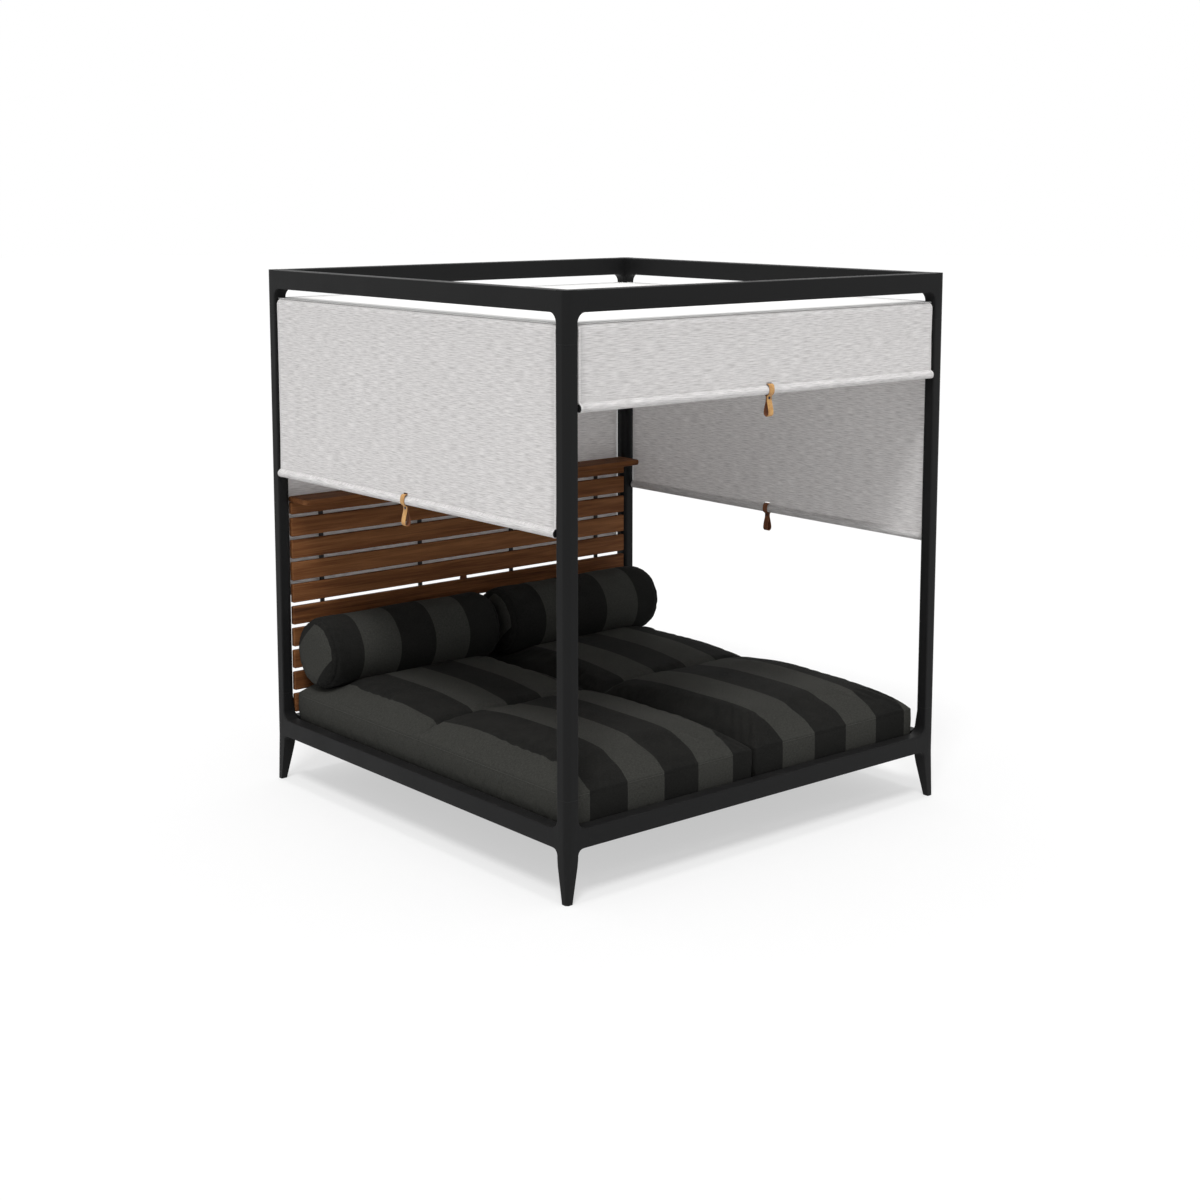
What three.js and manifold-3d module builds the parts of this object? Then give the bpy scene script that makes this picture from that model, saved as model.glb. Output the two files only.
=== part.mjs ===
// An outdoor daybed under a square canopy frame. Cast aluminium corners join the posts and
// rails, a roller blind hangs on each of the four sides, a slatted teak wall with a shelf
// stands at the back, and two mattresses and two bolsters lie on a slatted deck.
// Millimetres, +Z up. The origin is on the floor under the middle of the frame, +X points
// right as seen from the open front, and +Y points to the wall.

import * as THREE from "three";
import { mergeVertices } from "three/addons/utils/BufferGeometryUtils.js";
import Module from "manifold-3d";

const wasm = await Module();
wasm.setup();

// Driving sizes of the whole
const width = 2070;
const depth = 2070;
const height = 2290;

// Clearances: seams between frame pieces, seats of what rests, and the overrun of cuts
const seamGap = 0.3;
const seatGap = 0.3;
const overrun = 20;

// Posts and rails
const postSize = 60;
const outerCornerRadius = 25;
const innerCornerRadius = 25;
const edgeRadius = 7;
const lowRailBottom = 205;
const lowRailHeight = 78;
const topRailHeight = 82;
const ledgeReach = 18;
const ledgeThickness = 6;

// Cast corners: reach along the rails and posts, fillets in the openings, tapered leg
const cornerReach = 112;
const lowCornerRise = 117;
const topCornerDrop = 113;
const openingFillet = 38;
const legFillet = 22;
const footSize = 28;
const footCornerRadius = 9;
const cornerBlend = 60;

// Deck of cross slats in two panels, each with an edge beam under the middle seam
const deckDrop = 28;
const deckSlatWidth = 70;
const deckSlatThickness = 20;
const deckSlatSpace = 32;
const deckMargin = 24;
const deckClearance = 3;
const deckBeamWidth = 30;
const deckSeam = 2;
const battenWidth = 40;
const battenDepth = 12;
const battenBite = 5;

// Slatted wall and its shelf
const slatHeight = 83;
const slatPitch = 100;
const slatThickness = 22;
const slatCount = 9;
const slatEndRadius = 5;
const slatEdge = 3;
const slatClearance = 2;
const topSlatHeight = 54;
const shelfTop = 1286;
const shelfThickness = 26;
const shelfDepth = 156;
const shelfOverhang = 127;
const shelfCornerRadius = 25;
const shelfBackRadius = 9;
const shelfEdge = 8;
const wallBarWidth = 20;
const wallBarThickness = 8;
const wallBarInset = 167;
const wallBarCount = 4;

// Roller blinds, their hem bars and pull straps
const blindThickness = 2;
const blindSetback = 8;
const blindSideGap = 8;
const rollRadius = 23;
const rollDrop = 67;
const rollCapRadius = 20;
const rollCapLength = 3;
const rollPinRadius = 6;
const hemRadius = 15;
const hemCapRadius = 13.5;
const hemCapLength = 3;
const blindDrops = { front: 280, right: 998, back: 1291, left: 741 };
const strapWidth = 28;
const strapThickness = 3;
const strapRise = 26;
const strapPinch = 34;
const strapDrop = 99;
const strapLoopHalf = 10;
const strapLoopHeight = 76;
const strapHoleMargin = 7;

// Roof cloth stretched over two tubes just inside the side rollers
const roofThickness = 2.5;
const roofSetback = 20;
const roofTube = 18;
const roofTubeInset = 2;
const roofLugReach = 20;
const roofLugThickness = 4;
const roofNotchGap = 1.5;

// Mattresses: half of the deck each, seam at mid side, crowned top, channel across the middle
const mattressSideGap = 5;
const mattressSeam = 4;
const mattressCornerRadius = 24;
const mattressSeamHeight = 132;
const mattressBottomRound = 22;
const mattressSideDraw = 7;
const mattressSeamDraw = 2;
const mattressCrown = 106;
const mattressEndCrown = 1;
const crownSidePower = 4.5;
const crownEndPower = 7;
const crownEndEase = 0.9;
const channelSidePower = 8;
const channelPlace = 20;
const channelDepth = 14;
const channelWidth = 25;
const channelDip = 28;
const channelDipWidth = 190;

// Bolsters against the wall
const bolsterRadius = 159;
const bolsterLength = 944;
const bolsterSink = 52;
const bolsterBedGap = 1;
const bolsterCapRadius = 142;
const bolsterCapDome = 14;
const bolsterShoulder = 50;
const bolsterGap = 40;
const bolsterGapPlace = -12;

// Steps of round stretches
const edgeSteps = 2;
const cornerSteps = 5;
const arcSteps = 4;
const roundSteps = 24;
const thinRoundSteps = 16;

// Heights and places worked out from the sizes above
const lowRailTop = lowRailBottom + lowRailHeight;
const topRailBottom = height - topRailHeight;
const lowSeam = lowRailTop + lowCornerRise;
const topSeam = topRailBottom - topCornerDrop;
const legTop = lowRailBottom - legFillet;
const legSlope = (postSize - footSize) / legTop;
const deckTop = lowRailTop - deckDrop;
const deckBottom = deckTop - deckSlatThickness;
const wallFront = depth / 2 - postSize;
const shelfBottom = shelfTop - shelfThickness;
const rollInset = blindSetback + blindThickness + seatGap + rollRadius;
const rollHeight = topRailBottom - rollDrop;
const rollTop = rollHeight + rollRadius;
const hemInset = blindSetback + blindThickness / 2;
const roofTubeTop = rollTop + seatGap;
const mattressBottom = deckTop + seatGap;
const mattressSeamZ = mattressBottom + mattressSeamHeight;
const mattressLength = depth - 2 * (postSize + mattressSideGap);
const mattressWidth = (width - 2 * (postSize + mattressSideGap) - mattressSeam) / 2;
const bolsterY = wallFront - seatGap - bolsterRadius;
const bolsterReach = (bolsterGap + bolsterLength) / 2;
const bolsterZ = mattressSeamZ + mattressCrown - bolsterSink + bolsterRadius;

// The four sides in turn, each seen from outside: its turn about Z, how far its outer face
// lies from the middle, and the length from outer face to outer face
const sides = [
  { name: "front", turn: 0, offset: depth / 2, length: width },
  { name: "right", turn: Math.PI / 2, offset: width / 2, length: depth },
  { name: "back", turn: Math.PI, offset: depth / 2, length: width },
  { name: "left", turn: -Math.PI / 2, offset: width / 2, length: depth },
];
const corners = [
  { name: "front_left", turn: 0, x: -width / 2, y: -depth / 2 },
  { name: "front_right", turn: Math.PI / 2, x: width / 2, y: -depth / 2 },
  { name: "back_right", turn: Math.PI, x: width / 2, y: depth / 2 },
  { name: "back_left", turn: -Math.PI / 2, x: -width / 2, y: depth / 2 },
];

const finish = (color, roughness, metalness) =>
  new THREE.MeshStandardMaterial({ color, roughness, metalness });
const materials = {
  frame: finish(0x2b2b2c, 0.55, 0.3),
  bar: finish(0x1c1c1d, 0.6, 0.3),
  teak: finish(0x6e4526, 0.65, 0),
  deck: finish(0x343435, 0.6, 0.3),
  blind: finish(0xcfcdcb, 0.9, 0),
  roof: finish(0xf0efed, 0.9, 0),
  leather: finish(0xc9954f, 0.55, 0),
  cushion: finish(0x262725, 0.95, 0),
};

// Solids: a closed geometry as a manifold, and back
function solidOf(geometry) {
  const bare = geometry.index ? geometry.toNonIndexed() : geometry.clone();
  bare.deleteAttribute("normal");
  bare.deleteAttribute("uv");
  const merged = mergeVertices(bare);
  const mesh = new wasm.Mesh({
    numProp: 3,
    vertProperties: merged.attributes.position.array,
    triVerts: new Uint32Array(merged.index.array),
  });
  return new wasm.Manifold(mesh);
}

function geometryOf(solid) {
  const mesh = solid.getMesh();
  const geometry = new THREE.BufferGeometry();
  geometry.setAttribute("position", new THREE.BufferAttribute(mesh.vertProperties, 3));
  geometry.setIndex(new THREE.BufferAttribute(mesh.triVerts, 1));
  const flat = geometry.toNonIndexed();
  flat.computeVertexNormals();
  return flat;
}

function block(x0, x1, y0, y1, z0, z1) {
  const box = new THREE.BoxGeometry(x1 - x0, y1 - y0, z1 - z0);
  return box.translate((x0 + x1) / 2, (y0 + y1) / 2, (z0 + z1) / 2);
}

// A skin through rings of equal point counts, closed by a flat cap at each end. Rings turn
// counter-clockwise as seen from the side that the loft runs towards.
function loft(rings) {
  const count = rings[0].length;
  const index = [];
  for (let i = 0; i + 1 < rings.length; i++) {
    for (let j = 0; j < count; j++) {
      const a = i * count + j;
      const b = i * count + ((j + 1) % count);
      index.push(a, b, b + count, a, b + count, a + count);
    }
  }
  const along = rings.at(-1)[0].clone().sub(rings[0][0]);
  const flat = Math.abs(along.z) > Math.abs(along.y) ? "xy" : "xz";
  const last = (rings.length - 1) * count;
  const cap = (ring) =>
    THREE.ShapeUtils.triangulateShape(ring.map((p) => new THREE.Vector2(p[flat[0]], p[flat[1]])), []);
  for (const [a, b, c] of cap(rings[0])) index.push(c, b, a);
  for (const [a, b, c] of cap(rings.at(-1))) index.push(last + a, last + b, last + c);
  const geometry = new THREE.BufferGeometry();
  const points = rings.flat().flatMap((p) => [p.x, p.y, p.z]);
  geometry.setAttribute("position", new THREE.Float32BufferAttribute(points, 3));
  geometry.setIndex(index);
  return geometry;
}

// A section in its own x and y, run along Z
function bar(shape, length) {
  return new THREE.ExtrudeGeometry(shape, {
    depth: length,
    bevelEnabled: false,
    curveSegments: arcSteps,
  });
}

// A plate with rounded edges on both faces, from z = 0 to its thickness
function plate(shape, thickness, edge, steps = edgeSteps) {
  const geometry = new THREE.ExtrudeGeometry(shape, {
    depth: thickness - 2 * edge,
    bevelThickness: edge,
    bevelSize: edge,
    bevelOffset: -edge,
    bevelSegments: steps,
    curveSegments: arcSteps,
  });
  return geometry.translate(0, 0, edge);
}

// Points of a rectangle with a radius for each corner, counter-clockwise from the low corner
function roundedPoints(x0, x1, y0, y1, radii, steps) {
  const points = [];
  const centres = [
    [x0, y0, 1, 1],
    [x1, y0, -1, 1],
    [x1, y1, -1, -1],
    [x0, y1, 1, -1],
  ];
  centres.forEach(([x, y, sx, sy], k) => {
    const radius = radii[k];
    for (let i = 0; i <= steps[k]; i++) {
      const angle = Math.PI * (1 + k / 2) + (i / steps[k]) * (Math.PI / 2);
      const px = x + sx * radius + radius * Math.cos(angle);
      const py = y + sy * radius + radius * Math.sin(angle);
      points.push(new THREE.Vector2(px, py));
    }
  });
  return points;
}

const ringAt = (points, z) => points.map((p) => new THREE.Vector3(p.x, p.y, z));

// Adds a mesh to the part
const part = new THREE.Group();
part.name = "canopy_daybed";

function addPiece(name, geometry, material, place = {}) {
  const mesh = new THREE.Mesh(geometry, material);
  mesh.name = name;
  mesh.position.set(place.x ?? 0, place.y ?? 0, place.z ?? 0);
  mesh.rotation.z = place.turn ?? 0;
  part.add(mesh);
}

// Cast corners. Each is drawn with its outer corner at the origin and its arms along +X and
// +Y: one plate along each arm, joined, then trimmed to the rounded outer corner.

// Outline of a low corner in a vertical plane: tapered leg, rail arm and post stub
function lowCornerOutline() {
  const outline = new THREE.Shape();
  const fillet = postSize + openingFillet;
  const knee = postSize + legFillet * legSlope;
  outline.moveTo(0, 0);
  outline.lineTo(footSize, 0);
  outline.lineTo(postSize, legTop);
  outline.quadraticCurveTo(knee, lowRailBottom, knee + legFillet, lowRailBottom);
  outline.lineTo(cornerReach + overrun, lowRailBottom);
  outline.lineTo(cornerReach + overrun, lowRailTop);
  outline.absarc(fillet, lowRailTop + openingFillet, openingFillet, -Math.PI / 2, -Math.PI, true);
  outline.lineTo(postSize, lowSeam + overrun);
  outline.lineTo(0, lowSeam + overrun);
  return outline;
}

// Outline of a top corner: rail arm along the top and post stub below it
function topCornerOutline() {
  const outline = new THREE.Shape();
  const fillet = postSize + openingFillet;
  outline.moveTo(0, topSeam - overrun);
  outline.lineTo(postSize, topSeam - overrun);
  outline.absarc(fillet, topRailBottom - openingFillet, openingFillet, Math.PI, Math.PI / 2, true);
  outline.lineTo(cornerReach + overrun, topRailBottom);
  outline.lineTo(cornerReach + overrun, height);
  outline.lineTo(0, height);
  return outline;
}

// The same plate along +X and, mirrored in the corner's diagonal, along +Y
function crossedArms(outline, cut) {
  const along = plate(outline, postSize, edgeRadius).rotateX(Math.PI / 2).translate(0, postSize, 0);
  const armX = cut ? solidOf(along).subtract(solidOf(cut)) : solidOf(along);
  const armY = armX.mirror([1, -1, 0]);
  return armX.add(armY);
}

// Takes the leg in from the second side as the outline takes it in from the first
function legWedge() {
  const wedge = new THREE.Shape();
  wedge.moveTo(footSize - overrun * legSlope, -overrun);
  wedge.lineTo(postSize + overrun, -overrun);
  wedge.lineTo(postSize + overrun, legTop);
  wedge.lineTo(postSize, legTop);
  const length = postSize + 2 * overrun;
  return bar(wedge, length).rotateX(Math.PI / 2).rotateZ(Math.PI / 2).translate(-overrun, 0, 0);
}

// What is kept of a corner: a square of the arms' reach with its outer corner rounded
function cornerTrim(levels) {
  const rings = levels.map(([z, radius]) => {
    const radii = [radius, 0, 0, 0];
    const steps = [cornerSteps, 1, 1, 1];
    return ringAt(roundedPoints(0, cornerReach, 0, cornerReach, radii, steps), z);
  });
  return loft(rings);
}

// What is taken off a post's inner corner, for a radius that changes with height
function innerCornerCut(levels) {
  const far = postSize + overrun;
  const rings = levels.map(([z, radius]) => {
    const centre = postSize - radius;
    const points = [new THREE.Vector2(far, centre)];
    points.push(new THREE.Vector2(far, far), new THREE.Vector2(centre, far));
    for (let i = 0; i <= cornerSteps; i++) {
      const angle = ((1 - i / cornerSteps) * Math.PI) / 2;
      const px = centre + radius * Math.cos(angle);
      points.push(new THREE.Vector2(px, centre + radius * Math.sin(angle)));
    }
    return ringAt(points, z);
  });
  return loft(rings);
}

function lowCorner() {
  const arms = crossedArms(lowCornerOutline(), legWedge());
  const trim = cornerTrim([
    [0, footCornerRadius],
    [lowRailBottom, outerCornerRadius],
    [lowSeam, outerCornerRadius],
  ]);
  const blendStart = lowRailTop + openingFillet;
  const cut = innerCornerCut([
    [blendStart, edgeRadius],
    [blendStart + cornerBlend, innerCornerRadius],
    [lowSeam + overrun, innerCornerRadius],
  ]);
  return geometryOf(arms.intersect(solidOf(trim)).subtract(solidOf(cut)));
}

function topCorner() {
  const arms = crossedArms(topCornerOutline());
  const trim = cornerTrim([
    [topSeam, outerCornerRadius],
    [height, outerCornerRadius],
  ]);
  const blendEnd = topRailBottom - openingFillet;
  const cut = innerCornerCut([
    [topSeam - overrun, innerCornerRadius],
    [blendEnd - cornerBlend, innerCornerRadius],
    [blendEnd, edgeRadius],
  ]);
  return geometryOf(arms.intersect(solidOf(trim)).subtract(solidOf(cut)));
}

function addCornersAndPosts() {
  const low = lowCorner();
  const top = topCorner();
  const radii = [outerCornerRadius, edgeRadius, innerCornerRadius, edgeRadius];
  const steps = [cornerSteps, edgeSteps, cornerSteps, edgeSteps];
  const section = new THREE.Shape(roundedPoints(0, postSize, 0, postSize, radii, steps));
  const postBottom = lowSeam + seamGap;
  const post = bar(section, topSeam - seamGap - postBottom).translate(0, 0, postBottom);
  for (const corner of corners) {
    addPiece("leg_corner_" + corner.name, low, materials.frame, corner);
    addPiece("post_" + corner.name, post, materials.frame, corner);
    addPiece("top_corner_" + corner.name, top, materials.frame, corner);
  }
}

// Rails between the cast corners. A section is drawn with x inwards from the outer face and
// y up, and run along the side. The left and right low rails have a ledge for the deck.
function railSection(bottom, top, ledge) {
  const radii = [edgeRadius, edgeRadius, edgeRadius, edgeRadius];
  const steps = [edgeSteps, edgeSteps, edgeSteps, edgeSteps];
  const points = roundedPoints(0, postSize, bottom, top, radii, steps);
  if (!ledge) return new THREE.Shape(points);
  const ledgeTop = deckBottom - seatGap;
  const tip = postSize + ledgeReach;
  const ledgePoints = [
    new THREE.Vector2(postSize, ledgeTop - ledgeThickness),
    new THREE.Vector2(tip, ledgeTop - ledgeThickness),
    new THREE.Vector2(tip, ledgeTop),
    new THREE.Vector2(postSize, ledgeTop),
  ];
  points.splice(2 * (edgeSteps + 1), 0, ...ledgePoints);
  return new THREE.Shape(points);
}

// Turns a section run along Z to lie along X, with its x to +Y and its y to +Z
function layAlong(geometry, start) {
  return geometry.rotateX(Math.PI / 2).rotateZ(Math.PI / 2).translate(start, 0, 0);
}

function addRails() {
  for (const side of sides) {
    const length = side.length - 2 * (cornerReach + seamGap);
    const ledge = side.name === "left" || side.name === "right";
    const low = bar(railSection(lowRailBottom, lowRailTop, ledge), length);
    const top = bar(railSection(topRailBottom, height, false), length);
    for (const [name, rail] of [["bottom_rail_", low], ["top_rail_", top]]) {
      const laid = layAlong(rail, -length / 2).translate(0, -side.offset, 0);
      addPiece(name + side.name, laid, materials.frame, { turn: side.turn });
    }
  }
}

// Deck panels: cross slats on two battens, from the side rail's ledge to the edge beam
function deckPanel() {
  const inner = deckSeam / 2;
  const outer = width / 2 - postSize - deckClearance;
  const half = depth / 2 - postSize - seatGap;
  const pitch = deckSlatWidth + deckSlatSpace;
  const room = 2 * (half - deckMargin);
  const count = Math.floor((room + deckSlatSpace) / pitch);
  const start = -((count - 1) * pitch + deckSlatWidth) / 2;
  const beam = block(inner, inner + deckBeamWidth, -half, half, lowRailBottom, deckTop);
  let panel = solidOf(beam);
  for (let i = 0; i < count; i++) {
    const y = start + i * pitch;
    panel = panel.add(solidOf(block(inner, outer, y, y + deckSlatWidth, deckBottom, deckTop)));
  }
  const reach = -start;
  const battenTop = deckBottom + battenBite;
  const ledgeTip = width / 2 - postSize - ledgeReach;
  const places = [(inner + outer) / 2 - battenWidth / 2, ledgeTip - seatGap - battenWidth];
  for (const x of places) {
    const low = deckBottom - battenDepth;
    panel = panel.add(solidOf(block(x, x + battenWidth, -reach, reach, low, battenTop)));
  }
  return panel;
}

function addDeck() {
  const panel = deckPanel();
  addPiece("deck_panel_right", geometryOf(panel), materials.deck);
  addPiece("deck_panel_left", geometryOf(panel.mirror([1, 0, 0])), materials.deck);
}

// Slatted wall: slats in the plane of the posts' inner faces, screwed to upright bars behind
function slat(slatWidth, slatTall) {
  const half = slatWidth / 2;
  const radii = [slatEndRadius, slatEndRadius, slatEndRadius, slatEndRadius];
  const steps = [edgeSteps, edgeSteps, edgeSteps, edgeSteps];
  const outline = new THREE.Shape(roundedPoints(-half, half, 0, slatTall, radii, steps));
  return plate(outline, slatThickness, slatEdge, 1).rotateX(Math.PI / 2);
}

function addWall() {
  const slatWidth = width - 2 * (postSize + slatClearance);
  const back = wallFront + slatThickness;
  const full = slat(slatWidth, slatHeight);
  const topSlatTop = shelfBottom - seatGap;
  const topSlatBottom = topSlatTop - topSlatHeight;
  addPiece("wall_slat_01", slat(slatWidth, topSlatHeight), materials.teak, { y: back, z: topSlatBottom });
  for (let i = 1; i <= slatCount; i++) {
    const z = topSlatBottom - i * slatPitch;
    const name = "wall_slat_" + String(i + 1).padStart(2, "0");
    addPiece(name, full, materials.teak, { y: back, z });
  }
  const barFront = back + seatGap;
  const barBottom = lowRailTop + seatGap;
  const barSpacing = (slatWidth - 2 * wallBarInset) / (wallBarCount - 1);
  for (let i = 0; i < wallBarCount; i++) {
    const x = (i - (wallBarCount - 1) / 2) * barSpacing;
    const upright = block(
      x - wallBarWidth / 2,
      x + wallBarWidth / 2,
      barFront,
      barFront + wallBarThickness,
      barBottom,
      topSlatTop,
    );
    addPiece("wall_bar_" + (i + 1), upright, materials.bar);
  }
  const half = slatWidth / 2;
  const front = wallFront - shelfOverhang;
  const radii = [shelfCornerRadius, shelfCornerRadius, shelfBackRadius, shelfBackRadius];
  const steps = [cornerSteps, cornerSteps, edgeSteps, edgeSteps];
  const outline = new THREE.Shape(roundedPoints(-half, half, front, front + shelfDepth, radii, steps));
  addPiece("wall_shelf", plate(outline, shelfThickness, shelfEdge), materials.teak, { z: shelfBottom });
}

// Blinds. Each side's pieces are drawn for the front and turned to their side.

// A turned piece along X from its radius at each place, given from the left end
function turned(profile, steps) {
  const points = profile.map(([radius, x]) => new THREE.Vector2(radius, x));
  return new THREE.LatheGeometry(points, steps).rotateZ(-Math.PI / 2);
}

function roller(half) {
  const inner = half - blindSideGap;
  const cap = inner + rollCapLength;
  const pin = half - seatGap;
  const profile = [
    [0, -pin],
    [rollPinRadius, -pin],
    [rollPinRadius, -cap],
    [rollCapRadius, -cap],
    [rollCapRadius, -inner],
    [rollRadius, -inner],
    [rollRadius, inner],
    [rollCapRadius, inner],
    [rollCapRadius, cap],
    [rollPinRadius, cap],
    [rollPinRadius, pin],
    [0, pin],
  ];
  return turned(profile, thinRoundSteps);
}

function hemBar(half) {
  const end = half - blindSideGap;
  const pocket = end - hemCapLength;
  const profile = [
    [0, -end],
    [hemCapRadius - hemCapLength / 2, -end],
    [hemCapRadius, -pocket - hemCapLength / 2],
    [hemCapRadius, -pocket],
    [hemRadius, -pocket],
    [hemRadius, pocket],
    [hemCapRadius, pocket],
    [hemCapRadius, pocket + hemCapLength / 2],
    [hemCapRadius - hemCapLength / 2, end],
    [0, end],
  ];
  return turned(profile, thinRoundSteps);
}

// The cloth from the roller down to its hem, with the slot that the pull strap goes through
function blindCloth(half, hemHeight) {
  const edge = half - blindSideGap;
  const bottom = hemHeight + hemRadius + seatGap;
  const slotHalf = strapWidth / 2 + seatGap;
  const slotBottom = hemHeight + strapRise - strapThickness - seatGap;
  const slotTop = hemHeight + strapRise + seatGap;
  const cloth = new THREE.Shape([
    new THREE.Vector2(-edge, bottom),
    new THREE.Vector2(edge, bottom),
    new THREE.Vector2(edge, rollHeight),
    new THREE.Vector2(-edge, rollHeight),
  ]);
  const slot = new THREE.Path([
    new THREE.Vector2(-slotHalf, slotBottom),
    new THREE.Vector2(-slotHalf, slotTop),
    new THREE.Vector2(slotHalf, slotTop),
    new THREE.Vector2(slotHalf, slotBottom),
  ]);
  cloth.holes.push(slot);
  return bar(cloth, blindThickness).rotateX(Math.PI / 2).translate(0, blindThickness, 0);
}

// Pull strap: one leather band through the slot and round the hem bar, pinched under it and
// opened again as a loop for the fingers
function strapOutline() {
  const side = hemRadius + seatGap + strapThickness;
  const outline = new THREE.Shape();
  const neck = -(side + strapPinch) / 2;
  const flare = -(strapPinch + strapLoopHeight) / 2;
  for (const s of [1, -1]) {
    const z = [strapRise, 0, -strapPinch, -strapLoopHeight, -strapDrop];
    if (s === 1) {
      outline.moveTo(0, z[0]);
      outline.bezierCurveTo(side * s, z[0], side * s, z[0], side * s, z[1]);
      outline.bezierCurveTo(side * s, neck, strapThickness * s, neck, strapThickness * s, z[2]);
      outline.bezierCurveTo(strapThickness * s, flare, strapLoopHalf * s, flare, strapLoopHalf * s, z[3]);
      outline.bezierCurveTo(strapLoopHalf * s, z[4], strapLoopHalf * s, z[4], 0, z[4]);
    } else {
      outline.bezierCurveTo(strapLoopHalf * s, z[4], strapLoopHalf * s, z[4], strapLoopHalf * s, z[3]);
      outline.bezierCurveTo(strapLoopHalf * s, flare, strapThickness * s, flare, strapThickness * s, z[2]);
      outline.bezierCurveTo(strapThickness * s, neck, side * s, neck, side * s, z[1]);
      outline.bezierCurveTo(side * s, z[0], side * s, z[0], 0, z[0]);
    }
  }
  return outline;
}

function pullStrap() {
  const bore = hemRadius + seatGap;
  const eye = new THREE.Path();
  const eyeTop = strapRise - strapThickness;
  const eyeBottom = -(strapPinch - strapHoleMargin);
  eye.moveTo(0, eyeTop);
  eye.bezierCurveTo(-bore, eyeTop, -bore, eyeTop, -bore, 0);
  eye.bezierCurveTo(-bore, eyeBottom, 0, eyeBottom, 0, eyeBottom);
  eye.bezierCurveTo(0, eyeBottom, bore, eyeBottom, bore, 0);
  eye.bezierCurveTo(bore, eyeTop, bore, eyeTop, 0, eyeTop);
  const loop = new THREE.Path();
  const reach = strapLoopHalf - strapThickness;
  const loopTop = -(strapPinch + strapHoleMargin);
  const loopBottom = strapThickness - strapDrop;
  loop.moveTo(0, loopTop);
  loop.bezierCurveTo(0, loopTop, -reach, loopTop, -reach, -strapLoopHeight);
  loop.bezierCurveTo(-reach, loopBottom, -reach, loopBottom, 0, loopBottom);
  loop.bezierCurveTo(reach, loopBottom, reach, loopBottom, reach, -strapLoopHeight);
  loop.bezierCurveTo(reach, loopTop, 0, loopTop, 0, loopTop);
  const outline = strapOutline();
  outline.holes.push(eye, loop);
  return layAlong(bar(outline, strapWidth), -strapWidth / 2);
}

function addBlinds() {
  const strap = pullStrap();
  for (const side of sides) {
    const half = side.length / 2 - postSize;
    const place = { turn: side.turn };
    const hemHeight = rollHeight - blindDrops[side.name];
    const rollerBody = roller(half).translate(0, rollInset - side.offset, rollHeight);
    const cloth = blindCloth(half, hemHeight).translate(0, blindSetback - side.offset, 0);
    const hem = hemBar(half).translate(0, hemInset - side.offset, hemHeight);
    const pull = strap.clone().translate(0, hemInset - side.offset, hemHeight);
    addPiece("roller_" + side.name, rollerBody, materials.blind, place);
    addPiece("blind_cloth_" + side.name, cloth, materials.blind, place);
    addPiece("hem_bar_" + side.name, hem, materials.blind, place);
    addPiece("pull_strap_" + side.name, pull, materials.leather, place);
  }
}

// Roof: a cloth cut round the posts, over a tube inside each side roller. A flat lug at each
// end of a tube lies on the post's inner face.
function roofSideTube(s) {
  const outer = width / 2 - postSize - roofTubeInset;
  const inner = outer - roofTube;
  const tip = outer + roofTubeInset + roofLugReach;
  const end = depth / 2 - postSize - seatGap;
  const neck = end - roofLugThickness;
  const outline = new THREE.Shape();
  outline.moveTo(s * inner, -end);
  outline.lineTo(s * tip, -end);
  outline.lineTo(s * tip, -neck);
  outline.lineTo(s * outer, -neck);
  outline.lineTo(s * outer, neck);
  outline.lineTo(s * tip, neck);
  outline.lineTo(s * tip, end);
  outline.lineTo(s * inner, end);
  return bar(outline, roofTube);
}

function roofCloth() {
  const x = width / 2 - roofSetback;
  const y = depth / 2 - roofSetback;
  const notchX = width / 2 - postSize - roofNotchGap;
  const notchY = depth / 2 - postSize - roofNotchGap;
  const outline = new THREE.Shape();
  outline.moveTo(-notchX, -y);
  for (const [px, py] of [
    [notchX, -y],
    [notchX, -notchY],
    [x, -notchY],
    [x, notchY],
    [notchX, notchY],
    [notchX, y],
    [-notchX, y],
    [-notchX, notchY],
    [-x, notchY],
    [-x, -notchY],
    [-notchX, -notchY],
  ]) {
    outline.lineTo(px, py);
  }
  return bar(outline, roofThickness);
}

function addRoof() {
  const place = { z: roofTubeTop - roofTube };
  addPiece("roof_tube_right", roofSideTube(1), materials.bar, place);
  addPiece("roof_tube_left", roofSideTube(-1), materials.bar, place);
  addPiece("roof_cloth", roofCloth(), materials.roof, { z: roofTubeTop + seatGap });
}

// Mattresses. A mattress is a run of upright sections from front to back. Shares place the
// sections and the points of one section.
const endShares = [0, 0.05, 0.2, 0.45, 0.75, 1];
const bodyShares = [0.12, 0.21, 0.3, 0.42, 0.53, 0.65, 0.76];
const channelShares = [0, 0.4, 1, 2, 4];
const bedShares = [-0.8, -0.65, -0.5, -0.35, -0.2, -0.05, 0.1, 0.25, 0.4, 0.6];
const backCrownShare = 0.92;
const capShares = [0.35, 0.6, 0.8, 0.92, 0.98];
const shoulderShares = [0.3, 0.65, 1];
const crossShares = [0.985, 0.93, 0.84, 0.7, 0.5, 0.25, 0];
const sideShares = [
  [0, 0.25],
  [0.55, 0.5],
  [1, 0.85],
];

// Height of the crown over the seam, for a place across and along the mattress as shares
function crownShare(across, along) {
  const side = Math.sqrt(1 - Math.abs(across) ** crownSidePower);
  const end = Math.max(0, 1 - Math.abs(along) ** crownEndPower) ** crownEndEase;
  return side * end * (along > 0 ? backCrownShare : 1);
}

function channelFall(y) {
  const away = Math.abs(y - channelPlace);
  const groove = channelDepth * Math.exp(-away / channelWidth);
  return groove + channelDip * Math.exp(-((away / channelDipWidth) ** 2));
}

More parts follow.
